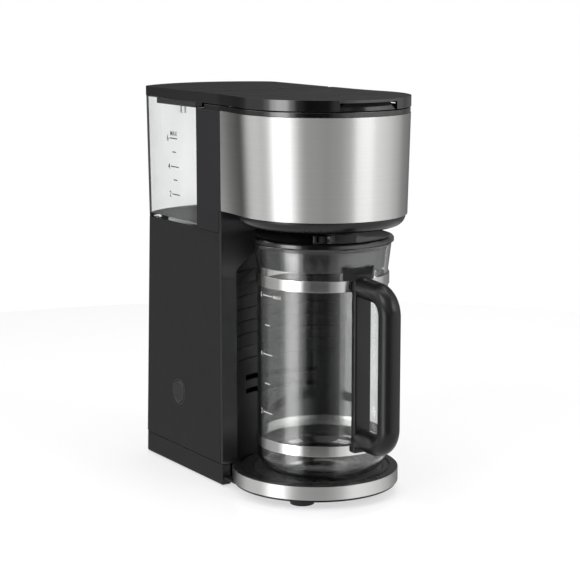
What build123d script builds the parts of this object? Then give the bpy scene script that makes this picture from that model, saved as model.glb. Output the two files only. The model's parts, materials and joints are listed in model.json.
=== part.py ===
from build123d import *
import math
import os

# Slim drip coffee maker with a steel brew drum, a clear lift-off tank and a glass carafe.
# Millimetres, +Z up, front towards -Y. Places below are measured from the centre of the
# round base, with the worktop at WORKTOP_Z, and every piece is moved by SHIFT_Y and SHIFT_Z
# at the end, so the origin lies on the worktop under the middle of the whole object.

# Overall heights
WORKTOP_Z = -3.2
SKIRT_Z0 = -1.9
SKIRT_TOP = 13.6
BODY_TOP = 189.0
DRUM_BOTTOM = 205.8
DRUM_TOP = 278.9
RIM_TOP = 282.7
LID_SKIRT_Z = 283.4
LID_TOP = 291.0

# Plan sizes
SIDE_X = 59.5
SKIRT_IN = 0.3
FRONT_Y = 36.0
BREW_Y = -9.5
DRUM_Y = -8.0
DRUM_R = 64.2
DRUM_LOW_R = 62.4
LID_R = 64.4
FLARE_R = 240.0
BASE_R = 62.0
BACK_Y = 184.2
BACK_R = 85.0
CORNER_R = 12.0
SEAM_Y = 72.7
SEAM_GAP = 1.0
WAIST_IN = 1.3
WAIST_BACK_IN = 7.7
TANK_TOP_BACK_IN = 5.1

# Wall thicknesses and small gaps
WALL = 2.2
SHEET = 0.8
GAP = 0.3
FIT = 0.06

# Base
PAN_Z0 = 2.6
PAN_TOP = 4.1
PAN_EDGE_R = BASE_R - 1.2
BAND_Z0 = 4.3
BAND_Z1 = 14.2
DECK_TOP = 14.7
DECK_EDGE_R = BASE_R - 0.3
DECK_WALL = 2.0
GROOVE_R = 56.0
GROOVE_DEPTH = 0.9
RING_R = 55.0
RING_IN_R = 48.6
PLATE_R = 48.2
PLATE_Y = -4.0
PLATE_TOP = DECK_TOP
PLATE_T = 1.6
PRESSING_RS = (40.0, 31.0, 22.0)
FOOT_SINK = 0.4
FRONT_FOOT = (31.0, -31.0, 9.0)
REAR_FOOT = (38.0, 150.0, 8.0)
SIDE_FOOT_X = (45.0, 56.0)
SIDE_FOOT_Y = (63.0, 97.0)
SCREW_R = 1.7
SCREW_HEAD_R = 3.4
SCREW_TIP_Z = 10.0
BOSS_R = 3.6

# Column front
RECESS_R = 65.0
RECESS_ARCH_Z = 157.0
RECESS_CROWN_Z = 180.5
SCOOP_R = 54.5
SCOOP_TOP = 196.6
RECESS_HALF = 46.4
RIB_PITCH = 9.75
RIB_TOP_Z = 158.0
RIB_COUNT = 8
RIB_H = 1.6
RIB_DEPTH = 1.2
SLOT_ZS = (73.0, 62.5)
SLOT_H = 4.2
SLOT_HALF = 32.0

# Brew chamber, basket and outlet
WELL_R = 57.0
WELL_WALL = 1.8
WELL_FLOOR_Z = 206.4
DISH_Z0 = 198.4
DISH_TOP_R = 57.0
DISH_LOW_R = 45.0
BASKET_TOP_R = 55.8
BASKET_Z1 = 264.0
BASKET_Z0 = 208.2
BASKET_LOW_R = 38.0
BASKET_WALL = 1.8
OUTLET_R = 8.0
MESH_TOP_R = 47.4
MESH_LOW_R = 30.0
OUTLET_BORE = 5.6
STEM_R = 3.0
STEM_Z0 = 196.3
HEAD_R = 7.4
CAGE_Z1 = 226.0

# Water path
TUBE_R = 3.7
TUBE_Z = PLATE_TOP - PLATE_T - TUBE_R
HOSE_R = 5.2
HOSE_BORE = TUBE_R
RISER_X = 30.0
RISER_Y = 57.2
ARM_HALF = 6.5

# Brew lid: finger scoop under a lip at the front, and the hinge behind
GRIP_HALF = 24.0
GRIP_DEPTH = 3.6
GRIP_BACK_Y = -66.0
LIP_T = 1.9
LIP_OUT = 0.8
LID_T = 2.2
HINGE_Y = 67.7
HINGE_Z = 286.0
PIN_R = 1.2
KNUCKLE_R = 2.4
BRACKET_X = (44.0, 50.0)
KNUCKLE_X = (35.0, 43.4)

# Water tank
TANK_Z0 = 189.4
TANK_Z1 = 283.2
TANK_WALL = 2.4
TANK_FRONT = 73.4
SPOUT_Y = 96.0
SPOUT_R = 8.0
SPOUT_BORE = 5.2
SPOUT_Z0 = 181.0
SOCKET_R = 9.6
SOCKET_Z0 = 172.0
VALVE_R = 6.6
VALVE_STEM_R = 2.4
TANK_HINGE_Y = 173.9
TANK_HINGE_Z = 286.1
TANK_KNUCKLE_X = (5.0, 11.4)
TANK_BRACKET_X = (12.0, 15.0)

# Side button
BUTTON_Y = 104.0
BUTTON_Z = 57.0
BUTTON_R = 8.4
BEZEL_R = 10.2
BUTTON_TRAVEL = 2.0

# Rear panel, with vents and the cord inlet low in its middle
REAR_PANEL_HALF = 46.0
LIP_TOP = 184.0
VENT_COUNT = 6
VENT_PITCH = 8.0
VENT_Z0 = 60.0
INLET_Z = 26.0
INLET_R = 4.0
GLAND_R = 6.9

# Carafe
GLASS_R = 48.0
GLASS_T = 2.4
GLASS_Z0 = 15.0
GLASS_Z1 = 185.5
GLASS_HEEL = 14.0
GLASS_FLARE_Z = 166.0
MOUTH_R = 50.2
DOME = 4.0
DOME_R = 30.0
BAND_OUT = 0.9
UPPER_BAND_Z = (154.7, 162.8)
LOWER_BAND_Z = (35.1, 42.7)
CAP_R = 52.0
CAP_Z0 = 186.0
CAP_Z1 = 189.8
CAP_T = 2.2
CAP_SKIRT_Z = 168.0
CAP_HUB_R = 9.0
CAP_HUB_Z = 189.0
STRAP_Y = -58.6
STRAP_W = 14.0
STRAP_T = 4.4
GRIP_Y = -95.0
GRIP_W = 16.0
GRIP_D = 15.0
HANDLE_Z0 = 38.0
HANDLE_Z1 = 168.0
SADDLE_HALF = 13.0
SADDLE_FRONT_Z = 167.4
SADDLE_TOP_Z = 172.2

# Where the origin goes
FRONT_REACH = GRIP_Y - GRIP_D / 2
BACK_REACH = BACK_Y - SKIRT_IN
SHIFT_Y = -(FRONT_REACH + BACK_REACH) / 2
SHIFT_Z = -WORKTOP_Z

NODES = {}


def keep(name, shape):
    """Store one finished piece under its name."""
    NODES[name] = shape


def prism(face, z0, z1):
    """Pull a flat face up from z0 to z1."""
    return Pos(0, 0, z0) * extrude(face, amount=z1 - z0, dir=(0, 0, 1))


def disc(radius, z0, z1, x=0.0, y=0.0):
    """A plain upright cylinder."""
    return Pos(x, y, (z0 + z1) / 2) * Cylinder(radius, z1 - z0)


def block(x0, x1, y0, y1, z0, z1):
    """A box given by its limits."""
    size = Box(x1 - x0, y1 - y0, z1 - z0)
    return Pos((x0 + x1) / 2, (y0 + y1) / 2, (z0 + z1) / 2) * size


def rod_x(radius, x0, x1, y, z):
    """A cylinder that lies along X."""
    return Pos((x0 + x1) / 2, y, z) * Rot(0, 90, 0) * Cylinder(radius, x1 - x0)


def turned(points, y):
    """A shape turned about the upright axis at y, from its half section."""
    profile = make_face(Polyline(*points, close=True))
    section = Plane.XZ * profile
    return Pos(0, y, 0) * revolve(section, axis=Axis.Z)


def drum_plan(inset, y_back, round_r=DRUM_R):
    """Outline of the drum: side planes, a gentle flare, then the round front."""
    half = SIDE_X - inset
    radius = round_r - inset
    flare = FLARE_R + inset
    reach = round_r + FLARE_R
    cx = SIDE_X + FLARE_R
    rise = math.sqrt(reach**2 - cx**2)
    cy = DRUM_Y + rise
    angle = math.atan2(rise, cx)
    tx, ty = radius * math.cos(angle), DRUM_Y + radius * math.sin(angle)
    mx, my = cx - flare * math.cos(angle / 2), cy - flare * math.sin(angle / 2)
    edges = [
        Edge.make_line((half, y_back), (half, cy)),
        Edge.make_three_point_arc((half, cy), (mx, my), (tx, ty)),
        Edge.make_three_point_arc((tx, ty), (0, DRUM_Y - radius), (-tx, ty)),
        Edge.make_three_point_arc((-tx, ty), (-mx, my), (-half, cy)),
        Edge.make_line((-half, cy), (-half, y_back)),
        Edge.make_line((-half, y_back), (half, y_back)),
    ]
    return Face(Wire(edges))


def drum_taper(inset, y_back, z0, z1):
    """The drum and the neck behind it draw in a little towards the bottom."""
    def face_at(z):
        part = (z - DRUM_BOTTOM) / (DRUM_TOP - DRUM_BOTTOM)
        round_r = DRUM_LOW_R + (DRUM_R - DRUM_LOW_R) * part
        return Pos(0, 0, z) * drum_plan(inset, y_back, round_r)
    return loft([face_at(z0), face_at(z1)], ruled=True)


def back_wire(inset, y_front, side_in=0.0, back_in=0.0):
    """Outline of the rear body and of the tank: flat sides and a bowed back."""
    half = SIDE_X - side_in - inset
    bow = BACK_R - inset
    corner = CORNER_R - inset
    bow_y = BACK_Y - back_in - BACK_R
    run_x = SIDE_X - side_in - CORNER_R
    run_y = math.sqrt((BACK_R - CORNER_R) ** 2 - run_x**2)
    cy = bow_y + run_y
    angle = math.atan2(run_y, run_x)
    tx, ty = bow * math.cos(angle), bow_y + bow * math.sin(angle)
    mx = run_x + corner * math.cos(angle / 2)
    my = cy + corner * math.sin(angle / 2)
    return Wire([
        Edge.make_line((half, y_front), (half, cy)),
        Edge.make_three_point_arc((half, cy), (mx, my), (tx, ty)),
        Edge.make_three_point_arc((tx, ty), (0, bow_y + bow), (-tx, ty)),
        Edge.make_three_point_arc((-tx, ty), (-mx, my), (-half, cy)),
        Edge.make_line((-half, cy), (-half, y_front)),
        Edge.make_line((-half, y_front), (half, y_front)),
    ])


def back_plan(inset, y_front, side_in=0.0, back_in=0.0):
    return Face(back_wire(inset, y_front, side_in, back_in))


def body_taper(inset, y_front, z0, z1):
    """The lower body narrows from the floor to the waist under the tank."""
    def wire_at(z):
        part = (z - SKIRT_Z0) / (BODY_TOP - SKIRT_Z0)
        wire = back_wire(inset, y_front, WAIST_IN * part, WAIST_BACK_IN * part)
        return Pos(0, 0, z) * Face(wire)
    return loft([wire_at(z0), wire_at(z1)], ruled=True)


def tank_taper(inset, y_front, z0, z1):
    """The tank widens again from the waist to its lid."""
    def wire_at(z):
        part = (z - TANK_Z0) / (TANK_Z1 - TANK_Z0)
        back_in = WAIST_BACK_IN + (TANK_TOP_BACK_IN - WAIST_BACK_IN) * part
        wire = back_wire(inset, y_front, WAIST_IN + 0.2 - 0.5 * part, back_in)
        return Pos(0, 0, z) * Face(wire)
    return loft([wire_at(z0), wire_at(z1)], ruled=True)


def screw_places():
    return [(40.0, -20.0), (-40.0, -20.0), (44.0, 128.0), (-44.0, 128.0)]


def foot_pads(grow):
    """Six pads: two round at the front, two long at the sides, two round at the rear."""
    top = PAN_Z0 + FOOT_SINK
    pads = []
    for sx in (1, -1):
        for x, y, radius in (FRONT_FOOT, REAR_FOOT):
            pads.append(disc(radius + grow, WORKTOP_Z, top, sx * x, y))
        x0, x1 = sorted((sx * SIDE_FOOT_X[0], sx * SIDE_FOOT_X[1]))
        pad = block(x0 - grow, x1 + grow, SIDE_FOOT_Y[0] - grow, SIDE_FOOT_Y[1] + grow, WORKTOP_Z, top)
        pads.append(fillet(pad.edges().filter_by(Axis.Z), 5.0))
    return pads


def base_and_feet():
    floor = prism(Face(Wire(Edge.make_circle(PAN_EDGE_R))), PAN_Z0, PAN_TOP)
    floor += prism(back_plan(1.6, 20.0), PAN_Z0, PAN_TOP)
    for pad in foot_pads(0.1):
        floor -= pad
    screws = []
    for x, y in screw_places():
        floor -= disc(SCREW_R, 0, PAN_TOP + 1, x, y)
        floor -= disc(SCREW_HEAD_R + 0.1, 0, PAN_Z0 + 0.4, x, y)
        head = disc(SCREW_HEAD_R, PAN_Z0 - 1.2, PAN_Z0 + 0.4, x, y)
        screws.append(head + disc(SCREW_R, PAN_Z0, SCREW_TIP_Z, x, y))
    for row in range(5):
        y = 70.0 + 9.0 * row
        floor -= block(-24, 24, y, y + 3.0, 0, PAN_TOP + 1)
    keep("base_pan", floor)
    keep("rubber_feet", Compound(foot_pads(0)))
    keep("base_screws", Compound(screws))


def base_ring_parts():
    """Steel band round the base, and the black deck with a groove and a raised ring in it."""
    cut_y = FRONT_Y - GAP
    front_only = block(-80, 80, -90, cut_y, 0, 40)
    wall_r = BASE_R - SHEET
    band = disc(BASE_R, BAND_Z0, BAND_Z1) - disc(wall_r, BAND_Z0, BAND_Z1)
    keep("base_steel_band", band & front_only)
    wall = disc(wall_r, PAN_TOP, DECK_TOP) - disc(wall_r - DECK_WALL, 0, DECK_TOP - DECK_WALL)
    lip = disc(DECK_EDGE_R, BAND_Z1, DECK_TOP)
    lip = chamfer(lip.edges().group_by(Axis.Z)[-1], 0.3)
    deck = wall + lip
    deck -= disc(GROOVE_R, DECK_TOP - GROOVE_DEPTH, 40) - disc(RING_R, 0, 40)
    deck -= disc(RING_IN_R, 0, 40, 0, PLATE_Y)
    sump = disc(RING_IN_R, 9.0, PLATE_TOP - PLATE_T, 0, PLATE_Y)
    sump -= disc(RING_IN_R - 1.6, 0, 40, 0, PLATE_Y)
    deck += sump
    deck -= block(-28, 28, 20, 70, 0, TUBE_Z + TUBE_R + 0.05)
    for x, y in screw_places()[:2]:
        boss = disc(BOSS_R, PAN_TOP, DECK_TOP - DECK_WALL, x, y)
        boss -= disc(SCREW_R, 0, SCREW_TIP_Z + 0.2, x, y)
        boss -= disc(RING_IN_R - 1.6, 0, 40, 0, PLATE_Y)
        deck += boss
    in_recess = disc(RECESS_R - GAP, 0, 40, 0, BREW_Y)
    keep("base_housing", deck & (front_only + in_recess))


def heater_parts():
    plate = disc(PLATE_R, PLATE_TOP - PLATE_T, PLATE_TOP, 0, PLATE_Y)
    for radius in PRESSING_RS:
        ring = disc(radius, PLATE_TOP - 0.4, PLATE_TOP, 0, PLATE_Y)
        plate -= ring - disc(radius - 1.2, 0, 40, 0, PLATE_Y)
    keep("warming_plate", plate)
    tube_r = TUBE_R
    tube_z = TUBE_Z
    bend = 30.0
    path = FilletPolyline((-15, 82, tube_z), (-15, 46, tube_z), (-bend, 18, tube_z),
                          (-bend, -36, tube_z), (bend, -36, tube_z), (bend, 18, tube_z),
                          (15, 46, tube_z), (15, 82, tube_z), radius=[22, 22, 26, 26, 22, 22])
    start = Plane(origin=(-15, 82, tube_z), z_dir=(0, -1, 0))
    pipe = sweep(start * (Circle(tube_r) - Circle(tube_r - 1.0)), path=path)
    keep("heater_tube", pipe)
    clip = block(-9, 9, -16, 4, PLATE_TOP - PLATE_T - 1.2, PLATE_TOP - PLATE_T)
    keep("heater_clamp", clip + disc(3.0, 7.4, PLATE_TOP - PLATE_T - 1.2, 0, -6))
    keep("thermostat", disc(6.5, 5.6, 11.9, 15, 10) - disc(2.0, 5.6, 6.2, 15, 10))
    keep("thermal_fuse", Pos(-14, 10, 8.6) * Rot(90, 0, 0) * Cylinder(2.2, 12))


def lower_body():
    """Two side panels that wrap the rear corners, and a rear panel clipped between them."""
    outer = body_taper(0, FRONT_Y + 3.2, SKIRT_TOP + 0.6, BODY_TOP)
    inner = body_taper(WALL, FRONT_Y, SKIRT_TOP, BODY_TOP + 1)
    wrap = outer - inner - block(-70, 70, 30, FRONT_Y + 3.2, 0, 300)
    lips = body_taper(WALL, FRONT_Y, SKIRT_TOP + 0.6, LIP_TOP)
    lips -= body_taper(WALL + 1.6, 30.0, SKIRT_TOP, LIP_TOP + 1)
    for name, sx in (("side_panel_left", -1), ("side_panel_right", 1)):
        x0, x1 = sorted((sx * (REAR_PANEL_HALF + 0.15), sx * 70.0))
        lip_x0, lip_x1 = sorted((sx * (REAR_PANEL_HALF - 4.0), sx * 70.0))
        panel = wrap & block(x0, x1, 30, 200, 0, 300)
        panel += lips & block(lip_x0, lip_x1, 140, 200, 0, 300)
        if sx < 0:
            panel -= rod_x(BEZEL_R + 0.1, -80, -40, BUTTON_Y, BUTTON_Z)
        keep(name, panel)
    rear = wrap & block(-REAR_PANEL_HALF, REAR_PANEL_HALF, 140, 200, 0, 300)
    lip_space = body_taper(WALL - FIT, FRONT_Y, SKIRT_TOP, BODY_TOP + 1)
    rear -= lip_space - block(5.0 - REAR_PANEL_HALF, REAR_PANEL_HALF - 5.0, 0, 300, 0, 300)
    rear -= Pos(0, 170, INLET_Z) * Rot(90, 0, 0) * Cylinder(GLAND_R + 0.1, 60)
    for row in range(VENT_COUNT):
        z = VENT_Z0 + VENT_PITCH * row
        rear -= block(-22, 22, 150, 200, z, z + 3.0)
    keep("rear_panel", rear)
    skirt = body_taper(SKIRT_IN, FRONT_Y + 0.4, SKIRT_Z0, SKIRT_TOP)
    skirt -= body_taper(3.0, FRONT_Y + 3.0, SKIRT_Z0 - 1.0, SKIRT_TOP + 0.4)
    skirt -= block(-52, 52, 20, FRONT_Y + 8.0, -10, 40)
    skirt -= prism(back_plan(1.6, 20.0), PAN_Z0, PAN_TOP)
    skirt -= block(-80, 80, 20, FRONT_Y + 0.4, -10, PAN_TOP)
    keep("body_skirt", skirt)
    deck = prism(back_plan(WALL + 0.02, 67.4, WAIST_IN, WAIST_BACK_IN), 184.5, 187.5)
    deck -= disc(SOCKET_R, 150, 200, 0, SPOUT_Y)
    cup = disc(SOCKET_R + 2.0, SOCKET_Z0, 187.5, 0, SPOUT_Y) - disc(SOCKET_R, SOCKET_Z0 + 2, 200, 0, SPOUT_Y)
    spigot = disc(HOSE_BORE, SOCKET_Z0 - 10, SOCKET_Z0 + 0.5, 0, SPOUT_Y)
    spigot -= disc(HOSE_BORE - 1.2, 100, 200, 0, SPOUT_Y)
    cup -= disc(HOSE_BORE - 1.2, 100, 200, 0, SPOUT_Y)
    pin = disc(1.4, SOCKET_Z0 + 1.0, 182.0, 0, SPOUT_Y)
    bridge = block(-4.5, 4.5, SPOUT_Y - 1.2, SPOUT_Y + 1.2, SOCKET_Z0 + 0.6, SOCKET_Z0 + 3.0)
    keep("tank_deck", deck + cup + spigot + pin + bridge)
    seal = disc(SOCKET_R, 184.6, 187.4, 0, SPOUT_Y) - disc(SPOUT_R + 0.25, 100, 200, 0, SPOUT_Y)
    keep("socket_seal", seal)


def column_front():
    """Front cover of the column: flat margins round an arched hollow with ribs."""
    half = SIDE_X - 0.45
    z0, z1 = SKIRT_TOP + 0.6, DRUM_BOTTOM - 1.0
    cover = block(-half, half, FRONT_Y, FRONT_Y + 3.0, z0, z1)
    behind = block(-half, half, FRONT_Y + 0.5, 90, z0, z1)
    cover += disc(RECESS_R + 2.2, z0, RECESS_CROWN_Z + 2.2, 0, BREW_Y) & behind
    cover += disc(SCOOP_R + 2.2, RECESS_ARCH_Z, SCOOP_TOP + 2.0, 0, BREW_Y) & behind
    edge = RECESS_HALF + 3
    arch = Plane.XZ * Face(Wire([
        Edge.make_line((-edge, 0), (edge, 0)),
        Edge.make_line((edge, 0), (edge, RECESS_ARCH_Z)),
        Edge.make_three_point_arc((edge, RECESS_ARCH_Z), (0, RECESS_CROWN_Z), (-edge, RECESS_ARCH_Z)),
        Edge.make_line((-edge, RECESS_ARCH_Z), (-edge, 0)),
    ]))
    window = extrude(arch, amount=120, both=True)
    cover -= disc(RECESS_R, 0, 300, 0, BREW_Y) & window
    cover -= disc(SCOOP_R, 0, SCOOP_TOP, 0, BREW_Y)
    for i in range(RIB_COUNT):
        z = RIB_TOP_Z - RIB_PITCH * i
        groove = disc(RECESS_R + RIB_DEPTH, z, z + RIB_H, 0, BREW_Y)
        groove -= disc(RECESS_R - 1, z, z + RIB_H, 0, BREW_Y)
        cover -= groove & block(-44, 44, FRONT_Y + 1.5, 90, 0, 300)
    for z in SLOT_ZS:
        cover -= block(-SLOT_HALF, SLOT_HALF, FRONT_Y + 3.2, 90, z, z + SLOT_H)
    keep("column_front", cover)


def neck_and_drum():
    rear_y = SEAM_Y - SEAM_GAP / 2
    ring = drum_taper(0.0, rear_y, BODY_TOP + 0.4, DRUM_TOP)
    ring -= drum_taper(WALL, rear_y - WALL, BODY_TOP - 1, DRUM_TOP + 1)
    ring &= block(-80, 80, FRONT_Y + 0.5, 90, 0, 400)
    ring -= block(-80, 80, FRONT_Y, FRONT_Y + 3.4, 0, DRUM_BOTTOM - 0.6)
    keep("neck_shell", ring)
    front_only = block(-90, 90, -90, FRONT_Y, 0, 400)
    band = drum_taper(0.0, 60, DRUM_BOTTOM, DRUM_TOP)
    band -= drum_taper(SHEET, 61, DRUM_BOTTOM - 1, DRUM_TOP + 1)
    keep("drum_steel_band", band & front_only)
    solid = drum_taper(SHEET + 0.05, 60, DRUM_BOTTOM, DRUM_TOP)
    frame = solid - drum_taper(SHEET + 1.4, 61, DRUM_BOTTOM + 1.8, DRUM_TOP - 1.8)
    frame &= front_only
    frame += prism(drum_plan(WALL + 0.05, SEAM_Y - 3.0), DRUM_TOP - 1.8, DRUM_TOP)
    frame -= disc(WELL_R + WELL_WALL, 0, 400, 0, BREW_Y)
    frame -= disc(HOSE_R + 0.6, DRUM_TOP - 4, 400, RISER_X, RISER_Y)
    for sx in (1, -1):
        x0, x1 = sorted((sx * BRACKET_X[0], sx * BRACKET_X[1]))
        ear = block(x0, x1, HINGE_Y - KNUCKLE_R, HINGE_Y + KNUCKLE_R - 0.4, DRUM_TOP - 1, HINGE_Z)
        ear += rod_x(KNUCKLE_R, x0, x1, HINGE_Y, HINGE_Z)
        ear -= rod_x(PIN_R, x0 - 1, x1 + 1, HINGE_Y, HINGE_Z)
        frame += ear
    keep("drum_frame", frame)
    well = disc(WELL_R + WELL_WALL, DRUM_BOTTOM, DRUM_TOP - 1.0, 0, BREW_Y)
    well -= disc(WELL_R, WELL_FLOOR_Z + 1.8, 400, 0, BREW_Y)
    well -= disc(OUTLET_R + 0.6, 0, 400, 0, BREW_Y)
    keep("brew_chamber", well)
    rim = prism(drum_plan(0.3, 60), DRUM_TOP, RIM_TOP) - prism(drum_plan(3.4, 61), 0, 400)
    keep("rim_ring", rim)
    dish = turned([(OUTLET_R + 1.0, DISH_Z0), (DISH_LOW_R, DISH_Z0), (DISH_TOP_R - 2, DRUM_BOTTOM - 3.0),
                   (DISH_TOP_R, DRUM_BOTTOM - 0.05), (DISH_TOP_R - 2, DRUM_BOTTOM - 0.05),
                   (DISH_LOW_R - 1, DISH_Z0 + 1.8), (OUTLET_R + 1.0, DISH_Z0 + 1.8)], BREW_Y)
    keep("drip_dish", dish - block(-80, 80, FRONT_Y - GAP, 90, 0, 400))


def basket_parts():
    r0, r1, w = BASKET_LOW_R, BASKET_TOP_R, BASKET_WALL
    basket = turned([(OUTLET_BORE, 204.0), (OUTLET_R, 204.0), (OUTLET_R, BASKET_Z0), (r0, BASKET_Z0 + 2),
                     (r1 - 5, BASKET_Z1 - 3), (r1, BASKET_Z1 - 3), (r1, BASKET_Z1), (r1 - 5 - w, BASKET_Z1),
                     (r0 - w, BASKET_Z0 + 2 + w), (12, BASKET_Z0 + w), (OUTLET_BORE, BASKET_Z0 + w)], BREW_Y)
    keep("filter_basket", basket)
    low_z = CAGE_Z1 + 0.6
    mesh = turned([(0, low_z), (MESH_LOW_R, low_z), (MESH_TOP_R, BASKET_Z1), (MESH_TOP_R + 4, BASKET_Z1),
                   (MESH_TOP_R + 4, BASKET_Z1 + 1.4), (MESH_TOP_R - 1, BASKET_Z1 + 1.4),
                   (MESH_LOW_R - 0.8, low_z + 0.9), (0, low_z + 0.9)], BREW_Y)
    keep("mesh_filter", mesh)
    head_z = BASKET_Z0 + BASKET_WALL + 0.1
    stem = disc(STEM_R, STEM_Z0, head_z + 1, 0, BREW_Y)
    stem = chamfer(stem.edges().group_by(Axis.Z)[0], 1.0)
    stop = stem + disc(HEAD_R, head_z, head_z + 1.8, 0, BREW_Y)
    stop += disc(2.0, head_z, head_z + 5.0, 0, BREW_Y)
    keep("drip_stop", stop)


def water_parts():
    z_top = SOCKET_Z0 - 1.0
    path = FilletPolyline((0, SPOUT_Y, z_top), (0, SPOUT_Y, 110), (-15, 104, 70), (-15, 104, 34),
                          (-15, 92, TUBE_Z), (-15, 76, TUBE_Z), radius=[24, 24, 16, 10])
    start = Plane(origin=(0, SPOUT_Y, z_top), z_dir=(0, 0, -1))
    keep("cold_water_hose", sweep(start * (Circle(HOSE_R) - Circle(HOSE_BORE)), path=path))
    valve = disc(HOSE_BORE, 138, 150, 0, SPOUT_Y) - disc(2.0, 137, 151, 0, SPOUT_Y)
    keep("check_valve", valve)
    keep("riser_tube", riser(RISER_X, RISER_Y))
    arm_z = DRUM_TOP + 2.4
    low, high = arm_z - 2.2, arm_z + 2.2
    rear_y0, rear_y1 = RISER_Y - 5.4, RISER_Y + 4.2
    arm = block(-ARM_HALF, ARM_HALF, BREW_Y, rear_y1, low, high)
    arm += block(-ARM_HALF, RISER_X + 5.2, rear_y0, rear_y1, low, high)
    arm += disc(16.0, DRUM_TOP - 9, high, 0, BREW_Y)
    arm -= disc(14.4, DRUM_TOP - 10, arm_z + 0.6, 0, BREW_Y)
    holes_r = 10.0
    plate = disc(14.35, DRUM_TOP - 8.8, DRUM_TOP - 7.2, 0, BREW_Y)
    for i in range(8):
        a = math.radians(45 * i)
        plate -= disc(1.1, 200, 300, holes_r * math.cos(a), BREW_Y + holes_r * math.sin(a))
    plate -= disc(1.4, 200, 300, 0, BREW_Y)
    channel = block(3.0 - ARM_HALF, ARM_HALF - 3.0, BREW_Y + 10.0, rear_y1 - 2.0, low + 0.7, high - 1.1)
    channel += block(3.0 - ARM_HALF, RISER_X + 2.0, rear_y0 + 2.0, rear_y1 - 2.0, low + 0.7, high - 1.1)
    spigot = disc(HOSE_BORE, DRUM_TOP - 14, arm_z - 1, RISER_X, RISER_Y)
    arm = arm + spigot - channel - disc(HOSE_BORE - 1.2, 200, arm_z, RISER_X, RISER_Y)
    keep("water_arm", arm)
    keep("spray_plate", plate)


def riser(x, y):
    """The hot tube from the heater up the inside of the column."""
    z_low = TUBE_Z
    path = FilletPolyline((15, 76, z_low), (15, 98, z_low), (15, 98, 40), (x, y, 92),
                          (x, y, DRUM_TOP - 2.4), radius=[12, 16, 34])
    start = Plane(origin=(15, 76, z_low), z_dir=(0, 1, 0))
    return sweep(start * (Circle(HOSE_R) - Circle(HOSE_BORE)), path=path)


def tank_parts():
    tank = tank_taper(0, TANK_FRONT, TANK_Z0, TANK_Z1)
    tank -= tank_taper(TANK_WALL, TANK_FRONT + TANK_WALL, TANK_Z0 + 2.6, TANK_Z1 + 0.5)
    tank += disc(SPOUT_R, SPOUT_Z0, TANK_Z0 + 4, 0, SPOUT_Y)
    tank -= disc(SPOUT_BORE, 170, TANK_Z0 + 10, 0, SPOUT_Y)
    tank -= block(-32, 32, TANK_HINGE_Y - 6, 190, TANK_Z1 - 3.2, TANK_Z1 + 1)
    for sx in (1, -1):
        x0, x1 = sorted((sx * TANK_BRACKET_X[0], sx * TANK_BRACKET_X[1]))
        ear = block(x0, x1, TANK_HINGE_Y - 2.4, TANK_HINGE_Y + 2.2, TANK_Z1 - 16, TANK_HINGE_Z)
        ear += rod_x(KNUCKLE_R, x0, x1, TANK_HINGE_Y, TANK_HINGE_Z)
        ear -= rod_x(PIN_R, x0 - 1, x1 + 1, TANK_HINGE_Y, TANK_HINGE_Z)
        tank += ear
    keep("water_tank", tank)
    pin_x = TANK_BRACKET_X[1]
    keep("tank_lid_pin", rod_x(PIN_R, -pin_x, pin_x, TANK_HINGE_Y, TANK_HINGE_Z))
    head_z = TANK_Z0 + 4.1
    valve = disc(VALVE_R, head_z, head_z + 1.6, 0, SPOUT_Y)
    valve += disc(VALVE_STEM_R, SPOUT_Z0 + 1.3, head_z + 6, 0, SPOUT_Y)
    keep("tank_valve", valve)
    cage = disc(9.0, TANK_Z0 + 2.7, TANK_Z0 + 18, 0, SPOUT_Y)
    cage -= disc(7.6, TANK_Z0 + 2.6, TANK_Z0 + 16.5, 0, SPOUT_Y)
    cage -= disc(SPOUT_R, TANK_Z0, TANK_Z0 + 4.05, 0, SPOUT_Y)
    cage -= disc(2.7, 150, 250, 0, SPOUT_Y)
    for turn in (0, 60, 120):
        cage -= Pos(0, SPOUT_Y, TANK_Z0 + 10) * Rot(0, 0, turn) * Box(30, 5, 9)
    keep("tank_valve_cage", cage)


def coil_spring(radius, wire_r, z0, z1, turns, y):
    """One spring as a helix of round wire."""
    height = z1 - z0 - 2 * wire_r
    helix = Helix(pitch=height / turns, height=height, radius=radius)
    start = Plane(origin=helix @ 0, z_dir=helix % 0)
    coil = sweep(start * Circle(wire_r), path=helix, is_frenet=True)
    return Pos(0, y, z0 + wire_r) * coil


def springs():
    head_z = BASKET_Z0 + BASKET_WALL + 1.9
    keep("drip_stop_spring", coil_spring(4.6, 0.45, head_z + 0.05, CAGE_Z1 - 3.05, 5, BREW_Y))
    cage = disc(8.6, BASKET_Z0 + BASKET_WALL, CAGE_Z1, 0, BREW_Y)
    cage -= disc(7.7, BASKET_Z0, CAGE_Z1 - 3, 0, BREW_Y)
    for turn in (0, 60, 120):
        middle = BASKET_Z0 + 9.0
        cage -= Pos(0, BREW_Y, middle) * Rot(0, 0, turn) * Box(30, 5, 9)
    cage -= disc(2.6, BASKET_Z0, CAGE_Z1 + 1, 0, BREW_Y)
    keep("drip_stop_cage", cage)
    valve_z = TANK_Z0 + 5.7
    keep("tank_valve_spring", coil_spring(4.4, 0.45, valve_z + 0.05, TANK_Z0 + 16.45, 4, SPOUT_Y))


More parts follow.
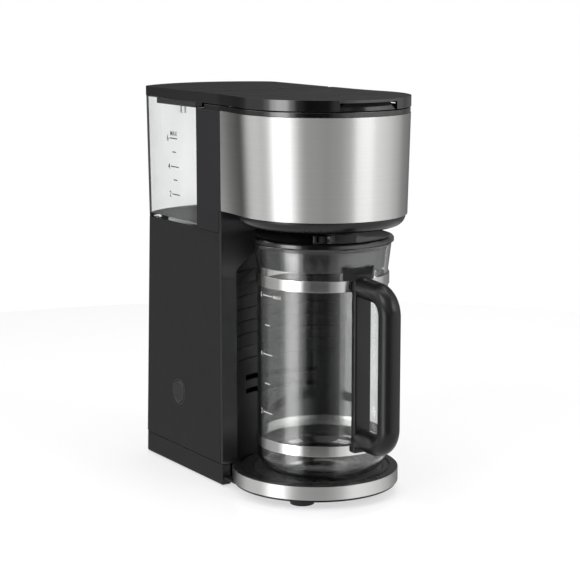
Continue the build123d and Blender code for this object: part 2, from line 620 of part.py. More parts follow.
def lids():
    rear_y = SEAM_Y - SEAM_GAP / 2
    top = prism(drum_plan(0.0, rear_y, LID_R), LID_SKIRT_Z, LID_TOP)
    rear_edge = top.edges().filter_by(Axis.X).sort_by(Axis.Y).group_by(Axis.Y)[-1].sort_by(Axis.Z)[-1]
    top = fillet(rear_edge, 4.4)
    hollow = prism(drum_plan(WALL, rear_y - 2.0, LID_R), 0, LID_TOP - LID_T)
    front_wall = block(-GRIP_HALF - 3.0, GRIP_HALF + 3.0, -90, GRIP_BACK_Y, 0, 400)
    top -= hollow - front_wall
    scoop = turned([(LID_R - GRIP_DEPTH, LID_TOP - LIP_T), (LID_R + 3, LID_TOP - LIP_T),
                    (LID_R + 3, LID_SKIRT_Z - 1), (LID_R - 0.2, LID_SKIRT_Z - 1)], DRUM_Y)
    finger_width = block(-GRIP_HALF, GRIP_HALF, -90, -40, 0, 400)
    top -= scoop & finger_width
    lip = disc(LID_R + LIP_OUT, LID_TOP - LIP_T, LID_TOP, 0, DRUM_Y) & finger_width
    top += lip
    low = prism(drum_plan(0.0, rear_y, LID_R), HINGE_Z - 5.5, LID_SKIRT_Z + 0.2)
    low -= prism(drum_plan(WALL, rear_y - 2.0, LID_R), 0, 400)
    low &= block(-80, 80, HINGE_Y - 4.4, 90, 0, 400)
    lid = top + low
    for sx in (1, -1):
        x0, x1 = sorted((sx * (BRACKET_X[0] - 0.4), sx * (BRACKET_X[1] + 0.4)))
        lid -= block(x0, x1, HINGE_Y, 90, 200, HINGE_Z + 2.7)
        x0, x1 = sorted((sx * KNUCKLE_X[0], sx * KNUCKLE_X[1]))
        ear = block(x0, x1, HINGE_Y - 2.0, HINGE_Y + 2.6, HINGE_Z, LID_TOP - LID_T + 0.5)
        ear += rod_x(KNUCKLE_R, x0, x1, HINGE_Y, HINGE_Z)
        lid += ear
        lid -= rod_x(PIN_R + FIT, x0 - 1, x1 + 1, HINGE_Y, HINGE_Z)
    keep("brew_lid", lid)
    pins = []
    for sx in (1, -1):
        x0, x1 = sorted((sx * 34.0, sx * BRACKET_X[1]))
        pins.append(rod_x(PIN_R, x0, x1, HINGE_Y, HINGE_Z))
    keep("lid_hinge_pins", Compound(pins))

    front_y = SEAM_Y + SEAM_GAP / 2
    plan_in = WAIST_IN - 0.4
    cap = prism(back_plan(0, front_y, plan_in, TANK_TOP_BACK_IN - 0.4), TANK_Z1 + 0.4, LID_TOP)
    cap -= prism(back_plan(TANK_WALL, front_y + 2.0, plan_in, TANK_TOP_BACK_IN - 0.4), 0, LID_TOP - LID_T)
    plug = prism(back_plan(TANK_WALL + 1.0, front_y + 4.2, plan_in + 0.4, 4.0), TANK_Z1 - 4.6,
                 LID_TOP - LID_T + 0.2)
    plug -= prism(back_plan(TANK_WALL + 2.4, front_y + 5.8, plan_in + 0.4, 4.0), 0, 400)
    plug &= block(-80, 80, 70, 140, 0, 400)
    cap += plug
    for sx in (1, -1):
        x0, x1 = sorted((sx * (TANK_BRACKET_X[0] - 0.3), sx * (TANK_BRACKET_X[1] + 0.3)))
        cap -= block(x0, x1, TANK_HINGE_Y - 3.0, 190, 200, TANK_HINGE_Z + 2.65)
        x0, x1 = sorted((sx * TANK_KNUCKLE_X[0], sx * TANK_KNUCKLE_X[1]))
        ear = block(x0, x1, TANK_HINGE_Y - 2.0, TANK_HINGE_Y + 2.0, TANK_HINGE_Z, LID_TOP - LID_T + 0.5)
        ear += rod_x(KNUCKLE_R, x0, x1, TANK_HINGE_Y, TANK_HINGE_Z)
        cap += ear
        cap -= rod_x(PIN_R + FIT, x0 - 1, x1 + 1, TANK_HINGE_Y, TANK_HINGE_Z)
    keep("tank_lid", cap)


def button_parts():
    face_x = -SIDE_X + 0.15
    ring = rod_x(BEZEL_R, face_x, face_x + 5.0, BUTTON_Y, BUTTON_Z)
    ring += rod_x(BEZEL_R + 1.6, face_x + 3.2, face_x + 5.0, BUTTON_Y, BUTTON_Z)
    ring -= rod_x(BUTTON_R + 0.3, face_x - 1, face_x + 6, BUTTON_Y, BUTTON_Z)
    keep("button_bezel", ring)
    cap = rod_x(BUTTON_R, face_x - 0.5, face_x + 5.0, BUTTON_Y, BUTTON_Z)
    cap += rod_x(2.4, face_x + 4.0, face_x + 11.0, BUTTON_Y, BUTTON_Z)
    keep("power_button", cap)
    body_x = face_x + 11.0 + BUTTON_TRAVEL
    case = block(face_x + 9.2, body_x + 14, BUTTON_Y - 9, BUTTON_Y + 9, BUTTON_Z - 7, BUTTON_Z + 7)
    case -= rod_x(2.7, face_x, body_x + 0.6, BUTTON_Y, BUTTON_Z)
    keep("power_switch", case)
    legs = []
    for dy in (-5, 0, 5):
        legs.append(block(body_x + 14, body_x + 20, BUTTON_Y + dy - 1.6, BUTTON_Y + dy + 1.6,
                          BUTTON_Z - 0.4, BUTTON_Z + 0.4))
    keep("switch_terminals", Compound(legs))
    y_wall = BACK_Y - WAIST_BACK_IN * 0.12
    gland = Pos(0, y_wall - 6, INLET_Z) * Rot(90, 0, 0) * (Cylinder(GLAND_R, 12) - Cylinder(INLET_R, 14))
    gland += Pos(0, y_wall - 4.6, INLET_Z) * Rot(90, 0, 0) * (Cylinder(9.0, 2.4) - Cylinder(INLET_R, 4))
    keep("cord_inlet_gland", gland)


def dome_z(z, reach, x):
    """Height of the bottom's dome at x, where it rises by DOME over its reach."""
    sphere = (reach**2 + DOME**2) / (2 * DOME)
    return z + DOME - sphere + math.sqrt(sphere**2 - x**2)


def carafe_parts():
    r, t = GLASS_R, GLASS_T
    z0, z1 = GLASS_Z0, GLASS_Z1
    heel = GLASS_HEEL
    flat = r - heel
    bend = heel * (1 - math.sqrt(0.5))
    thin = (heel - t) * math.sqrt(0.5)
    section = Face(Wire([
        Edge.make_three_point_arc((0, z0 + DOME), (DOME_R / 2, dome_z(z0, DOME_R, DOME_R / 2)), (DOME_R, z0)),
        Edge.make_line((DOME_R, z0), (flat, z0)),
        Edge.make_three_point_arc((flat, z0), (r - bend, z0 + bend), (r, z0 + heel)),
        Edge.make_line((r, z0 + heel), (r, GLASS_FLARE_Z)),
        Edge.make_line((r, GLASS_FLARE_Z), (MOUTH_R, z1)),
        Edge.make_line((MOUTH_R, z1), (MOUTH_R - t, z1)),
        Edge.make_line((MOUTH_R - t, z1), (r - t, GLASS_FLARE_Z)),
        Edge.make_line((r - t, GLASS_FLARE_Z), (r - t, z0 + heel)),
        Edge.make_three_point_arc((r - t, z0 + heel), (flat + thin, z0 + heel - thin), (flat, z0 + t)),
        Edge.make_three_point_arc((flat, z0 + t), (flat / 2, dome_z(z0 + t, flat, flat / 2)),
                                  (0, z0 + t + DOME)),
        Edge.make_line((0, z0 + t + DOME), (0, z0 + DOME)),
    ]))
    glass = Pos(0, BREW_Y, 0) * revolve(Plane.XZ * section, axis=Axis.Z)
    keep("carafe_glass", glass)
    for name, zs in (("carafe_upper_band", UPPER_BAND_Z), ("carafe_lower_band", LOWER_BAND_Z)):
        hoop = disc(r + BAND_OUT, zs[0], zs[1], 0, BREW_Y) - disc(r, zs[0], zs[1], 0, BREW_Y)
        keep(name, hoop)
    strap = block(-STRAP_W / 2, STRAP_W / 2, STRAP_Y - STRAP_T, STRAP_Y, HANDLE_Z0, HANDLE_Z1 - 2)
    strap = fillet(strap.edges().filter_by(Axis.Z).sort_by(Axis.Y)[:2], 1.6)
    front_y = STRAP_Y - STRAP_T
    saddle_y = BREW_Y - math.sqrt((r + BAND_OUT) ** 2 - SADDLE_HALF ** 2)
    half_plan = [(SADDLE_HALF, BREW_Y), (SADDLE_HALF, saddle_y), (STRAP_W / 2, front_y)]
    plan = make_face(Polyline(*half_plan, *[(-x, y) for x, y in reversed(half_plan)], close=True))
    saddle = extrude(Pos(0, 0, UPPER_BAND_Z[1] + GAP) * plan, amount=SADDLE_TOP_Z - UPPER_BAND_Z[1])
    side_view = Plane.YZ * make_face(Polyline((BREW_Y, HANDLE_Z0), (front_y, HANDLE_Z0), (front_y, SADDLE_FRONT_Z),
                                              (saddle_y, SADDLE_TOP_Z), (BREW_Y, SADDLE_TOP_Z), close=True))
    saddle &= extrude(side_view, amount=SADDLE_HALF, both=True)
    flare = turned([(0, 0), (r + BAND_OUT, 0), (r + BAND_OUT, UPPER_BAND_Z[1] + GAP),
                    (r + 0.02, UPPER_BAND_Z[1] + GAP), (r + 0.02, GLASS_FLARE_Z), (MOUTH_R + 0.02, z1),
                    (0, z1)], BREW_Y)
    bracket = strap + saddle - flare
    screws = []
    for z in (HANDLE_Z0 + 8.0, HANDLE_Z1 - 11.0):
        screws.append(Pos(0, STRAP_Y - STRAP_T / 2, z) * Rot(90, 0, 0) * Cylinder(1.6, STRAP_T) - flare)
    keep("handle_bracket", bracket - screws[0] - screws[1])
    keep("carafe_handle", carafe_handle())
    keep("handle_screws", Compound(screws))


def carafe_handle():
    """A D-shaped grip: an oval bar bent through two rounded corners."""
    y_in = STRAP_Y - STRAP_T
    low_z, high_z = HANDLE_Z0 + 9.0, HANDLE_Z1 - 9.5
    path = FilletPolyline((0, y_in + 3, high_z), (0, GRIP_Y, high_z - 3), (0, GRIP_Y, low_z),
                          (0, y_in + 3, low_z), radius=[15, 15])
    start = Plane(origin=(0, y_in + 3, high_z), x_dir=(1, 0, 0), z_dir=path % 0)
    bar = sweep(start * Ellipse(GRIP_W / 2, GRIP_D / 2), path=path)
    return bar - block(-20, 20, y_in, 20, 0, 300)


def carafe_cap():
    """A thin dished lid with a raised drain hub, over a deep skirt inside the carafe's neck."""
    c = CAP_R
    plug_r = MOUTH_R - GLASS_T - 1.2
    skirt_r = GLASS_R - GLASS_T - 0.4
    low_z = CAP_Z0 - 6.0
    dip_z = CAP_Z1 - 5.4
    cap = turned([(0, dip_z), (30, dip_z + 1.0), (c - 6, CAP_Z1 - 1.2), (c - 3, CAP_Z1), (c - 0.8, CAP_Z1 - 0.5),
                  (c, CAP_Z1 - 1.5), (c, CAP_Z0), (plug_r, CAP_Z0), (plug_r, low_z), (skirt_r, CAP_SKIRT_Z),
                  (skirt_r - CAP_T, CAP_SKIRT_Z), (plug_r - CAP_T, low_z), (plug_r - CAP_T, CAP_Z0 - CAP_T),
                  (30, dip_z + 1.0 - CAP_T), (0, dip_z - CAP_T)], BREW_Y)
    cap += disc(CAP_HUB_R, dip_z - 1.0, CAP_HUB_Z, 0, BREW_Y)
    cap -= disc(4.5, 150, 250, 0, BREW_Y)
    cap -= block(-12, 12, BREW_Y + 40.0, BREW_Y + 52.0, CAP_SKIRT_Z - 1, CAP_Z0 - 0.01)
    keep("carafe_lid", cap)
    seal = disc(plug_r + 0.6, CAP_Z0 - 4.0, CAP_Z0 - 2.0, 0, BREW_Y) - disc(plug_r, 100, 250, 0, BREW_Y)
    seal -= block(-13, 13, BREW_Y + 38, BREW_Y + 54, 100, 250)
    keep("lid_seal", seal)


base_and_feet()
base_ring_parts()
heater_parts()
lower_body()
column_front()
neck_and_drum()
basket_parts()
water_parts()
tank_parts()
springs()
lids()
button_parts()
carafe_parts()
carafe_cap()

os.makedirs("parts", exist_ok=True)
for node, shape in NODES.items():
    export_step(Pos(0, SHIFT_Y, SHIFT_Z) * shape, f"parts/{node}.step")
print(len(NODES), "nodes, shift", SHIFT_Y, SHIFT_Z)
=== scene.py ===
import json
import math

import bmesh
import bpy
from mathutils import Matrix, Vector

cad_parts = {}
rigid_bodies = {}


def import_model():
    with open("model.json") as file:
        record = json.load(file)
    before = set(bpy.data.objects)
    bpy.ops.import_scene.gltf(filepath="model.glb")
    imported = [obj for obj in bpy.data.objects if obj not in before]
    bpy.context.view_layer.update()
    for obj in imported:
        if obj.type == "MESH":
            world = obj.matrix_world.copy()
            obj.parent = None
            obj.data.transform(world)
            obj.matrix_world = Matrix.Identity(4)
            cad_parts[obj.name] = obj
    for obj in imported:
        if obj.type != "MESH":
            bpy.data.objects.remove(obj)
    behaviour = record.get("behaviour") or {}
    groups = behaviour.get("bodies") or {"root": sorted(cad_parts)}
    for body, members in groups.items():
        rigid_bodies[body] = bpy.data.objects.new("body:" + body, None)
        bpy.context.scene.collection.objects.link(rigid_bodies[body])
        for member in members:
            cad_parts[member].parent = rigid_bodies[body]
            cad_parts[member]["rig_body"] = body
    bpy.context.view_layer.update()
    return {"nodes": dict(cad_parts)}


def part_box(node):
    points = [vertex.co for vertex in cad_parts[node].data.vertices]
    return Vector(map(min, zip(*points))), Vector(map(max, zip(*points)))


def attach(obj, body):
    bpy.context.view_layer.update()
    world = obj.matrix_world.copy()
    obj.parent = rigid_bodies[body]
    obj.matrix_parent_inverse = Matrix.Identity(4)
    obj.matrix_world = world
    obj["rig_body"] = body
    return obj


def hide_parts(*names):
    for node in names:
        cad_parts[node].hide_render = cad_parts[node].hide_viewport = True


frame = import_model()

# Camera: a long lens at the photographer's height, to the left of the front.
# The place is where the round base and the column corner line up as in the photograph.
CAMERA_AT = Vector((-0.69983, -1.12524, 0.37614))
CAMERA_TURN = math.radians(32.0)
CAMERA_PITCH = math.radians(9.93)
LENS_MM = 110.2
SENSOR_MM = 36.0

camera_data = bpy.data.cameras.new("camera")
camera_data.lens = LENS_MM
camera_data.sensor_width = SENSOR_MM
camera = bpy.data.objects.new("camera", camera_data)
camera.location = CAMERA_AT
sight = Vector((math.sin(CAMERA_TURN) * math.cos(CAMERA_PITCH),
                math.cos(CAMERA_TURN) * math.cos(CAMERA_PITCH),
                -math.sin(CAMERA_PITCH)))
camera.rotation_euler = sight.to_track_quat("-Z", "Y").to_euler()
bpy.context.scene.collection.objects.link(camera)
bpy.context.scene.camera = camera
bpy.context.scene.view_settings.view_transform = "Standard"

# Studio: a round white table under soft lamps. The room is white where it is seen directly
# or through glass. Metal and gloss see its walls instead: level with the table there are
# bright screens with dark gaps between them, softer walls above, and the table's light below.
WHITE = (1.0, 1.0, 1.0, 1.0)
TABLE_R = 0.75
TABLE_STEPS = 96
TABLE_WHITE = (0.82, 0.82, 0.82, 1.0)
TABLE_MATT = 0.6
TABLE_SEEN = (0.55, 0.55, 0.55, 1.0)
TABLE_GLOW = 0.60
TABLE_ROUGH = 0.22
TABLE_IN_METAL = 0.80
ROOM_LIGHT = 0.42
# A ray whose depth is above this has met such a surface at least once.
MET_ONCE = 0.5
# Each stop is an angle round the table, from the photographer's side towards the right,
# and the light of the screen or wall there.
SCREENS = ((-180, 0.12), (-140, 0.06), (-125, 0.12), (-108, 0.40), (-84, 0.50), (-75, 1.10),
           (-66, 3.60), (-58, 4.80), (-48, 4.60), (-40, 1.60), (-32, 0.20), (-18, 0.02), (6, 0.04),
           (18, 0.32), (34, 0.85), (50, 1.20), (75, 1.20), (95, 0.95), (115, 0.65), (135, 0.30),
           (180, 0.12))
WALLS = ((-180, 0.10), (-146, 0.03), (-131, 0.06), (-115, 2.10), (-100, 2.15), (-90, 1.40),
         (-80, 0.65), (-66, 0.40), (-56, 0.02), (-44, 0.02), (-36, 0.25), (-28, 0.55), (-12, 0.66),
         (10, 0.44), (30, 0.14), (42, 0.24), (52, 0.12), (64, 0.20), (74, 1.40), (88, 1.50),
         (100, 1.15), (112, 0.80), (128, 0.34), (180, 0.20))
# The rise of a ray's direction where the screens are just out of sight, and where they are
# seen in full.
SCREEN_FOOT = (-0.42, -0.30)
SCREEN_HEAD = (0.15, 0.07)
# Each lamp has a name, a place, the height that it is turned to, the side of its square and
# its power in watts.
LAMPS = (("key_box", (-1.5, -0.3, 1.3), 0.15, 0.9, 13.0),
         ("front_box", (0.7, -1.5, 1.0), 0.15, 0.8, 9.0),
         ("top_box", (0.1, 0.2, 1.7), 0.20, 1.3, 11.0))


def node_of(tree, kind, **values):
    """A shader node with its settings and its plain socket values."""
    made = tree.nodes.new(kind)
    for name, value in values.items():
        if hasattr(made, name):
            setattr(made, name, value)
        else:
            made.inputs[name.replace("_", " ")].default_value = value
    return made


def worked(tree, operation, *values):
    """A sum of sockets and plain numbers."""
    made = node_of(tree, "ShaderNodeMath", operation=operation)
    for place, value in zip(made.inputs, values):
        if isinstance(value, (int, float)):
            place.default_value = value
        else:
            tree.links.new(value, place)
    return made.outputs[0]


def ranged(tree, value, ends, to=(0.0, 1.0)):
    """A socket's value, taken from one range to another."""
    made = node_of(tree, "ShaderNodeMapRange", From_Min=ends[0], From_Max=ends[1],
                   To_Min=to[0], To_Max=to[1])
    tree.links.new(value, made.inputs["Value"])
    return made.outputs[0]


def mixed(tree, share, without, with_it):
    """Two shaders mixed by a share."""
    made = node_of(tree, "ShaderNodeMixShader")
    for place, value in zip(made.inputs, (share, without, with_it)):
        tree.links.new(value, place)
    return made.outputs[0]


table_mesh = bmesh.new()
bmesh.ops.create_circle(table_mesh, cap_ends=True, segments=TABLE_STEPS, radius=TABLE_R)
table_data = bpy.data.meshes.new("studio_table")
table_mesh.to_mesh(table_data)
table_mesh.free()
table = bpy.data.objects.new("studio_table", table_data)
bpy.context.scene.collection.objects.link(table)
paper = bpy.data.materials.new("white_paper")
paper.use_nodes = True
sheet = paper.node_tree
plain = sheet.nodes["Principled BSDF"]
plain.inputs["Base Color"].default_value = TABLE_WHITE
plain.inputs["Roughness"].default_value = TABLE_MATT
shown = node_of(sheet, "ShaderNodeBsdfPrincipled", Base_Color=TABLE_SEEN, Roughness=TABLE_ROUGH,
                Emission_Color=WHITE, Emission_Strength=TABLE_GLOW)
looks = node_of(sheet, "ShaderNodeLightPath")
clear_away = node_of(sheet, "ShaderNodeBsdfTransparent")
after_gloss = worked(sheet, "GREATER_THAN", looks.outputs["Glossy Depth"], MET_ONCE)
unlit = worked(sheet, "LESS_THAN", looks.outputs["Diffuse Depth"], MET_ONCE)
in_metal = worked(sheet, "MULTIPLY", after_gloss, unlit)
either = mixed(sheet, looks.outputs["Is Camera Ray"], plain.outputs[0], shown.outputs[0])
table_top = mixed(sheet, in_metal, either, clear_away.outputs[0])
sheet.links.new(table_top, sheet.nodes["Material Output"].inputs["Surface"])
table_data.materials.append(paper)

world = bpy.data.worlds.new("studio")
bpy.context.scene.world = world
world.use_nodes = True
sky = world.node_tree
back = sky.nodes["Background"]
back.inputs["Color"].default_value = WHITE
back.inputs["Strength"].default_value = ROOM_LIGHT
way = node_of(sky, "ShaderNodeTexCoord")
turned_way = node_of(sky, "ShaderNodeMapping", vector_type="POINT",
                     Rotation=(0.0, 0.0, CAMERA_TURN + math.pi))
way_parts = node_of(sky, "ShaderNodeSeparateXYZ")
sky.links.new(way.outputs["Generated"], turned_way.inputs["Vector"])
sky.links.new(turned_way.outputs["Vector"], way_parts.inputs[0])
angle = worked(sky, "ARCTAN2", way_parts.outputs["X"], way_parts.outputs["Y"])
along = ranged(sky, angle, (math.pi, -math.pi))


def room_side(stops):
    """The light of the room by its angle round the table."""
    brightest = max(level for degrees, level in stops)
    ramp = node_of(sky, "ShaderNodeValToRGB")
    ramp.color_ramp.interpolation = "EASE"
    marks = ramp.color_ramp.elements
    while len(marks) < len(stops):
        marks.new(0.5)
    for mark, (degrees, level) in zip(marks, stops):
        mark.position = (degrees + 180) / 360
        mark.color = (level / brightest, level / brightest, level / brightest, 1.0)
    side = node_of(sky, "ShaderNodeBackground", Strength=brightest)
    sky.links.new(along, ramp.inputs["Fac"])
    sky.links.new(ramp.outputs["Color"], side.inputs["Color"])
    return side.outputs[0]


above_foot = ranged(sky, way_parts.outputs["Z"], SCREEN_FOOT)
under_head = ranged(sky, way_parts.outputs["Z"], SCREEN_HEAD)
table_light = node_of(sky, "ShaderNodeBackground", Color=WHITE, Strength=TABLE_IN_METAL)
white = node_of(sky, "ShaderNodeBackground", Color=WHITE, Strength=1.0)
upright = mixed(sky, under_head, room_side(WALLS), room_side(SCREENS))
room = mixed(sky, above_foot, table_light.outputs[0], upright)
rays = node_of(sky, "ShaderNodeLightPath")
unscattered = worked(sky, "LESS_THAN", rays.outputs["Diffuse Depth"], MET_ONCE)
after_mirror = worked(sky, "GREATER_THAN", rays.outputs["Glossy Depth"], MET_ONCE)
no_mirror = worked(sky, "LESS_THAN", rays.outputs["Glossy Depth"], MET_ONCE)
mirrored = worked(sky, "MULTIPLY", unscattered, after_mirror)
direct = worked(sky, "MULTIPLY", unscattered, no_mirror)
through = worked(sky, "MULTIPLY", direct, rays.outputs["Is Transmission Ray"])
seen = worked(sky, "MAXIMUM", rays.outputs["Is Camera Ray"], through)
lit = mixed(sky, mirrored, back.outputs[0], room)
whole_sky = mixed(sky, seen, lit, white.outputs[0])
sky.links.new(whole_sky, sky.nodes["World Output"].inputs["Surface"])
world.cycles.sampling_method = "NONE"

for name, at, aim_up, side, power in LAMPS:
    lamp_data = bpy.data.lights.new(name, "AREA")
    lamp_data.shape = "SQUARE"
    lamp_data.size = side
    lamp_data.energy = power
    lamp = bpy.data.objects.new(name, lamp_data)
    lamp.location = at
    lamp.rotation_euler = (Vector((0.0, 0.0, aim_up)) - lamp.location).to_track_quat("-Z", "Y").to_euler()
    bpy.context.scene.collection.objects.link(lamp)

# Side panels: two injection-moulded shells of charcoal plastic that wrap the rear corners
# and clip to the rear panel. Their skin is a fine spark-eroded texture, with small
# rounded edges where the mould parts.
PANEL_CHARCOAL = (0.0135, 0.0135, 0.0140, 1.0)
PANEL_ROUGH = 0.50
PANEL_SHEEN = 0.24
PANEL_EDGE = 0.0004
MERGE = 1e-6
FLAT_WITHIN = math.radians(1.0)
# Edges are rounded, and shading breaks, where two faces meet at more than these degrees.
EASED_ABOVE = 32.0
SHARP_ABOVE = 34.0
EASE_STEPS = 2
GRAIN_PER_M = 2300.0
GRAIN_HEIGHT = 0.00006
SKIN_DEPTH = 0.5
SKIN_RUBBED = 0.1
CLOUDS_PER_M = 13.0
CLOUD_RANGE = (0.3, 0.7)
CLOUD_TONES = (0.93, 1.07)
RUBS_PER_M = 38.0
RUB_RANGE = (0.42, 0.72)


def group_of(name, takes):
    """An empty node group that gives a colour, a roughness and a normal, and its two ends."""
    group = bpy.data.node_groups.new(name, "ShaderNodeTree")
    for socket, kind, value in takes:
        made = group.interface.new_socket(socket, in_out="INPUT", socket_type=kind)
        made.default_value = value
    for socket, kind in (("Color", "NodeSocketColor"), ("Roughness", "NodeSocketFloat"),
                         ("Normal", "NodeSocketVector")):
        group.interface.new_socket(socket, in_out="OUTPUT", socket_type=kind)
    return group, group.nodes.new("NodeGroupInput"), group.nodes.new("NodeGroupOutput")


def moulded_skin_group():
    """The texture of a moulded skin: fine grain, a cloudy tone and softly rubbed patches."""
    group, takes, gives = group_of(
        "moulded_skin",
        (("Color", "NodeSocketColor", PANEL_CHARCOAL), ("Roughness", "NodeSocketFloat", PANEL_ROUGH),
         ("Grain", "NodeSocketFloat", GRAIN_PER_M), ("Depth", "NodeSocketFloat", SKIN_DEPTH),
         ("Rubbed", "NodeSocketFloat", SKIN_RUBBED)))
    link = group.links.new
    place = node_of(group, "ShaderNodeTexCoord")
    grain = node_of(group, "ShaderNodeTexNoise", Detail=2.0)
    clouds = node_of(group, "ShaderNodeTexNoise", Scale=CLOUDS_PER_M, Detail=3.0)
    patches = node_of(group, "ShaderNodeTexNoise", Scale=RUBS_PER_M, Detail=7.0, Roughness=0.62)
    for noise in (grain, clouds, patches):
        link(place.outputs["Object"], noise.inputs["Vector"])
    bump = node_of(group, "ShaderNodeBump", Distance=GRAIN_HEIGHT)
    link(takes.outputs["Grain"], grain.inputs["Scale"])
    link(grain.outputs["Fac"], bump.inputs["Height"])
    link(takes.outputs["Depth"], bump.inputs["Strength"])
    tinted = node_of(group, "ShaderNodeHueSaturation")
    link(ranged(group, clouds.outputs["Fac"], CLOUD_RANGE, to=CLOUD_TONES), tinted.inputs["Value"])
    link(takes.outputs["Color"], tinted.inputs["Color"])
    rubbed = ranged(group, patches.outputs["Fac"], RUB_RANGE)
    rougher = worked(group, "MULTIPLY_ADD", rubbed, takes.outputs["Rubbed"], takes.outputs["Roughness"])
    link(tinted.outputs[0], gives.inputs["Color"])
    link(rougher, gives.inputs["Roughness"])
    link(bump.outputs["Normal"], gives.inputs["Normal"])
    return group


moulded_skin = moulded_skin_group()


def moulded(name, color, roughness, grain=GRAIN_PER_M, depth=SKIN_DEPTH, rubbed=SKIN_RUBBED,
            **shader_values):
    """A moulded, cast or coated finish: its shader takes colour and grain from the skin."""
    material = bpy.data.materials.new(name)
    material.use_nodes = True
    tree = material.node_tree
    shader = tree.nodes["Principled BSDF"]
    skin = node_of(tree, "ShaderNodeGroup", node_tree=moulded_skin, Color=color, Roughness=roughness,
                   Grain=grain, Depth=depth, Rubbed=rubbed)
    tree.links.new(skin.outputs["Color"], shader.inputs["Base Color"])
    tree.links.new(skin.outputs["Roughness"], shader.inputs["Roughness"])
    tree.links.new(skin.outputs["Normal"], shader.inputs["Normal"])
    for socket, value in shader_values.items():
        shader.inputs[socket.replace("_", " ")].default_value = value
    return material


def shown_piece(mesh, name, body, materials, sharp=SHARP_ABOVE):
    """Turn a finished mesh into a piece that rides on its body."""
    data = bpy.data.meshes.new(name)
    mesh.to_mesh(data)
    mesh.free()
    for material in materials:
        data.materials.append(material)
    data.shade_smooth()
    data.set_sharp_from_angle(angle=math.radians(sharp))
    piece = bpy.data.objects.new(name, data)
    bpy.context.scene.collection.objects.link(piece)
    weighted = piece.modifiers.new("even_shading", "WEIGHTED_NORMAL")
    weighted.keep_sharp = True
    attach(piece, body)
    return piece


def eased(mesh, width, above=EASED_ABOVE):
    """Round by a small width every edge whose two faces meet at more than an angle in degrees."""
    sharp = [e for e in mesh.edges if e.is_manifold and e.calc_face_angle() > math.radians(above)]
    bmesh.ops.bevel(mesh, geom=sharp, offset=width, offset_type="OFFSET", segments=EASE_STEPS,
                    profile=0.5, affect="EDGES", clamp_overlap=True, material=-1)


def copied(node):
    """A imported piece's mesh, merged, with its flat faces made whole."""
    mesh = bmesh.new()
    mesh.from_mesh(frame["nodes"][node].data)
    bmesh.ops.remove_doubles(mesh, verts=mesh.verts, dist=MERGE)
    bmesh.ops.dissolve_limit(mesh, angle_limit=FLAT_WITHIN, verts=mesh.verts, edges=mesh.edges)
    for face in mesh.faces:
        face.material_index = 0
    return mesh


def body_of_node(node):
    """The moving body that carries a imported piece."""
    return frame["nodes"][node]["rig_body"]


def dressed(node, name, edge, material):
    """A packed shell with rounded edges and its own finish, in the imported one's place."""
    mesh = copied(node)
    eased(mesh, edge)
    piece = shown_piece(mesh, name, body_of_node(node), [material])
    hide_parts(node)


charcoal = moulded("charcoal_panel_plastic", PANEL_CHARCOAL, PANEL_ROUGH, Specular_IOR_Level=PANEL_SHEEN)
dressed("side_panel_left", "left_side_moulding", PANEL_EDGE, charcoal)
dressed("side_panel_right", "right_side_moulding", PANEL_EDGE, charcoal)

# Rear panel, skirt and pan: the rest of the lower case. The rear panel is moulded in the side
# panels' plastic, clips between them and carries the vents. The skirt is the darker plinth,
# and the pan closes it from below with screws.
PLINTH_BLACK = (0.010, 0.010, 0.0105, 1.0)
PLINTH_ROUGH = 0.42
PLINTH_SHEEN = 0.30
PAN_EDGE = 0.0003

dressed("rear_panel", "rear_moulding", PANEL_EDGE, charcoal)
plinth = moulded("plinth_plastic", PLINTH_BLACK, PLINTH_ROUGH, Specular_IOR_Level=PLINTH_SHEEN)
dressed("body_skirt", "plinth_moulding", PANEL_EDGE, plinth)
dressed("base_pan", "floor_pan_moulding", PAN_EDGE, plinth)

# Feet and gland: soft black rubber, moulded with round edges. The feet are pressed into the
# pan, and the gland into the rear panel.
RUBBER_BLACK = (0.022, 0.022, 0.022, 1.0)
RUBBER_ROUGH = 0.68
FOOT_EDGE = 0.0008
GLAND_EDGE = 0.0004

rubber = moulded("foot_rubber", RUBBER_BLACK, RUBBER_ROUGH, grain=1400.0, depth=0.8, Sheen_Weight=0.15)
dressed("rubber_feet", "rubber_foot_pads", FOOT_EDGE, rubber)
dressed("cord_inlet_gland", "cord_gland", GLAND_EDGE, rubber)

# Round base: a moulded deck of black plastic with a groove and a raised ring round the hot
# plate. It is polished, so it shows a grey sheen at the side away from the column.
DECK_BLACK = (0.014, 0.014, 0.014, 1.0)
DECK_ROUGH = 0.20
DECK_EDGE = 0.0003

deck = moulded("deck_plastic", DECK_BLACK, DECK_ROUGH, depth=0.12, rubbed=0.12)
dressed("base_housing", "round_base_moulding", DECK_EDGE, deck)

# Steel band round the base: a strip of stainless sheet rolled to a circle, brushed along
# its length, and held between the deck's lip and the pan.
STEEL = (0.60, 0.60, 0.59, 1.0)
STEEL_ROUGH = 0.36
STEEL_SHEET = 0.0008
STEEL_EDGE = 0.00015
# Turned and rolled pieces are eased only at their square corners.
SQUARE_ABOVE = 50.0
# A quarter turn draws the reflections out across the brushed lines.
STEEL_GRAIN_TURN = 0.25
BAND_ANISOTROPY = 0.9
BAND_STEPS = 144
# Lines and streaks for each metre along the brushing and across it.
FINE_LINES = (4.0, 6000.0, 1.0)
BROAD_STREAKS = (1.4, 600.0, 1.0)
STREAK_SHARE = 0.55
STREAK_ROUGH = 0.05
LINE_RANGE = (0.5, 1.05)
LINE_TONES = (0.95, 1.04)
LINE_DEPTH = 0.3
LINE_HEIGHT = 0.000008


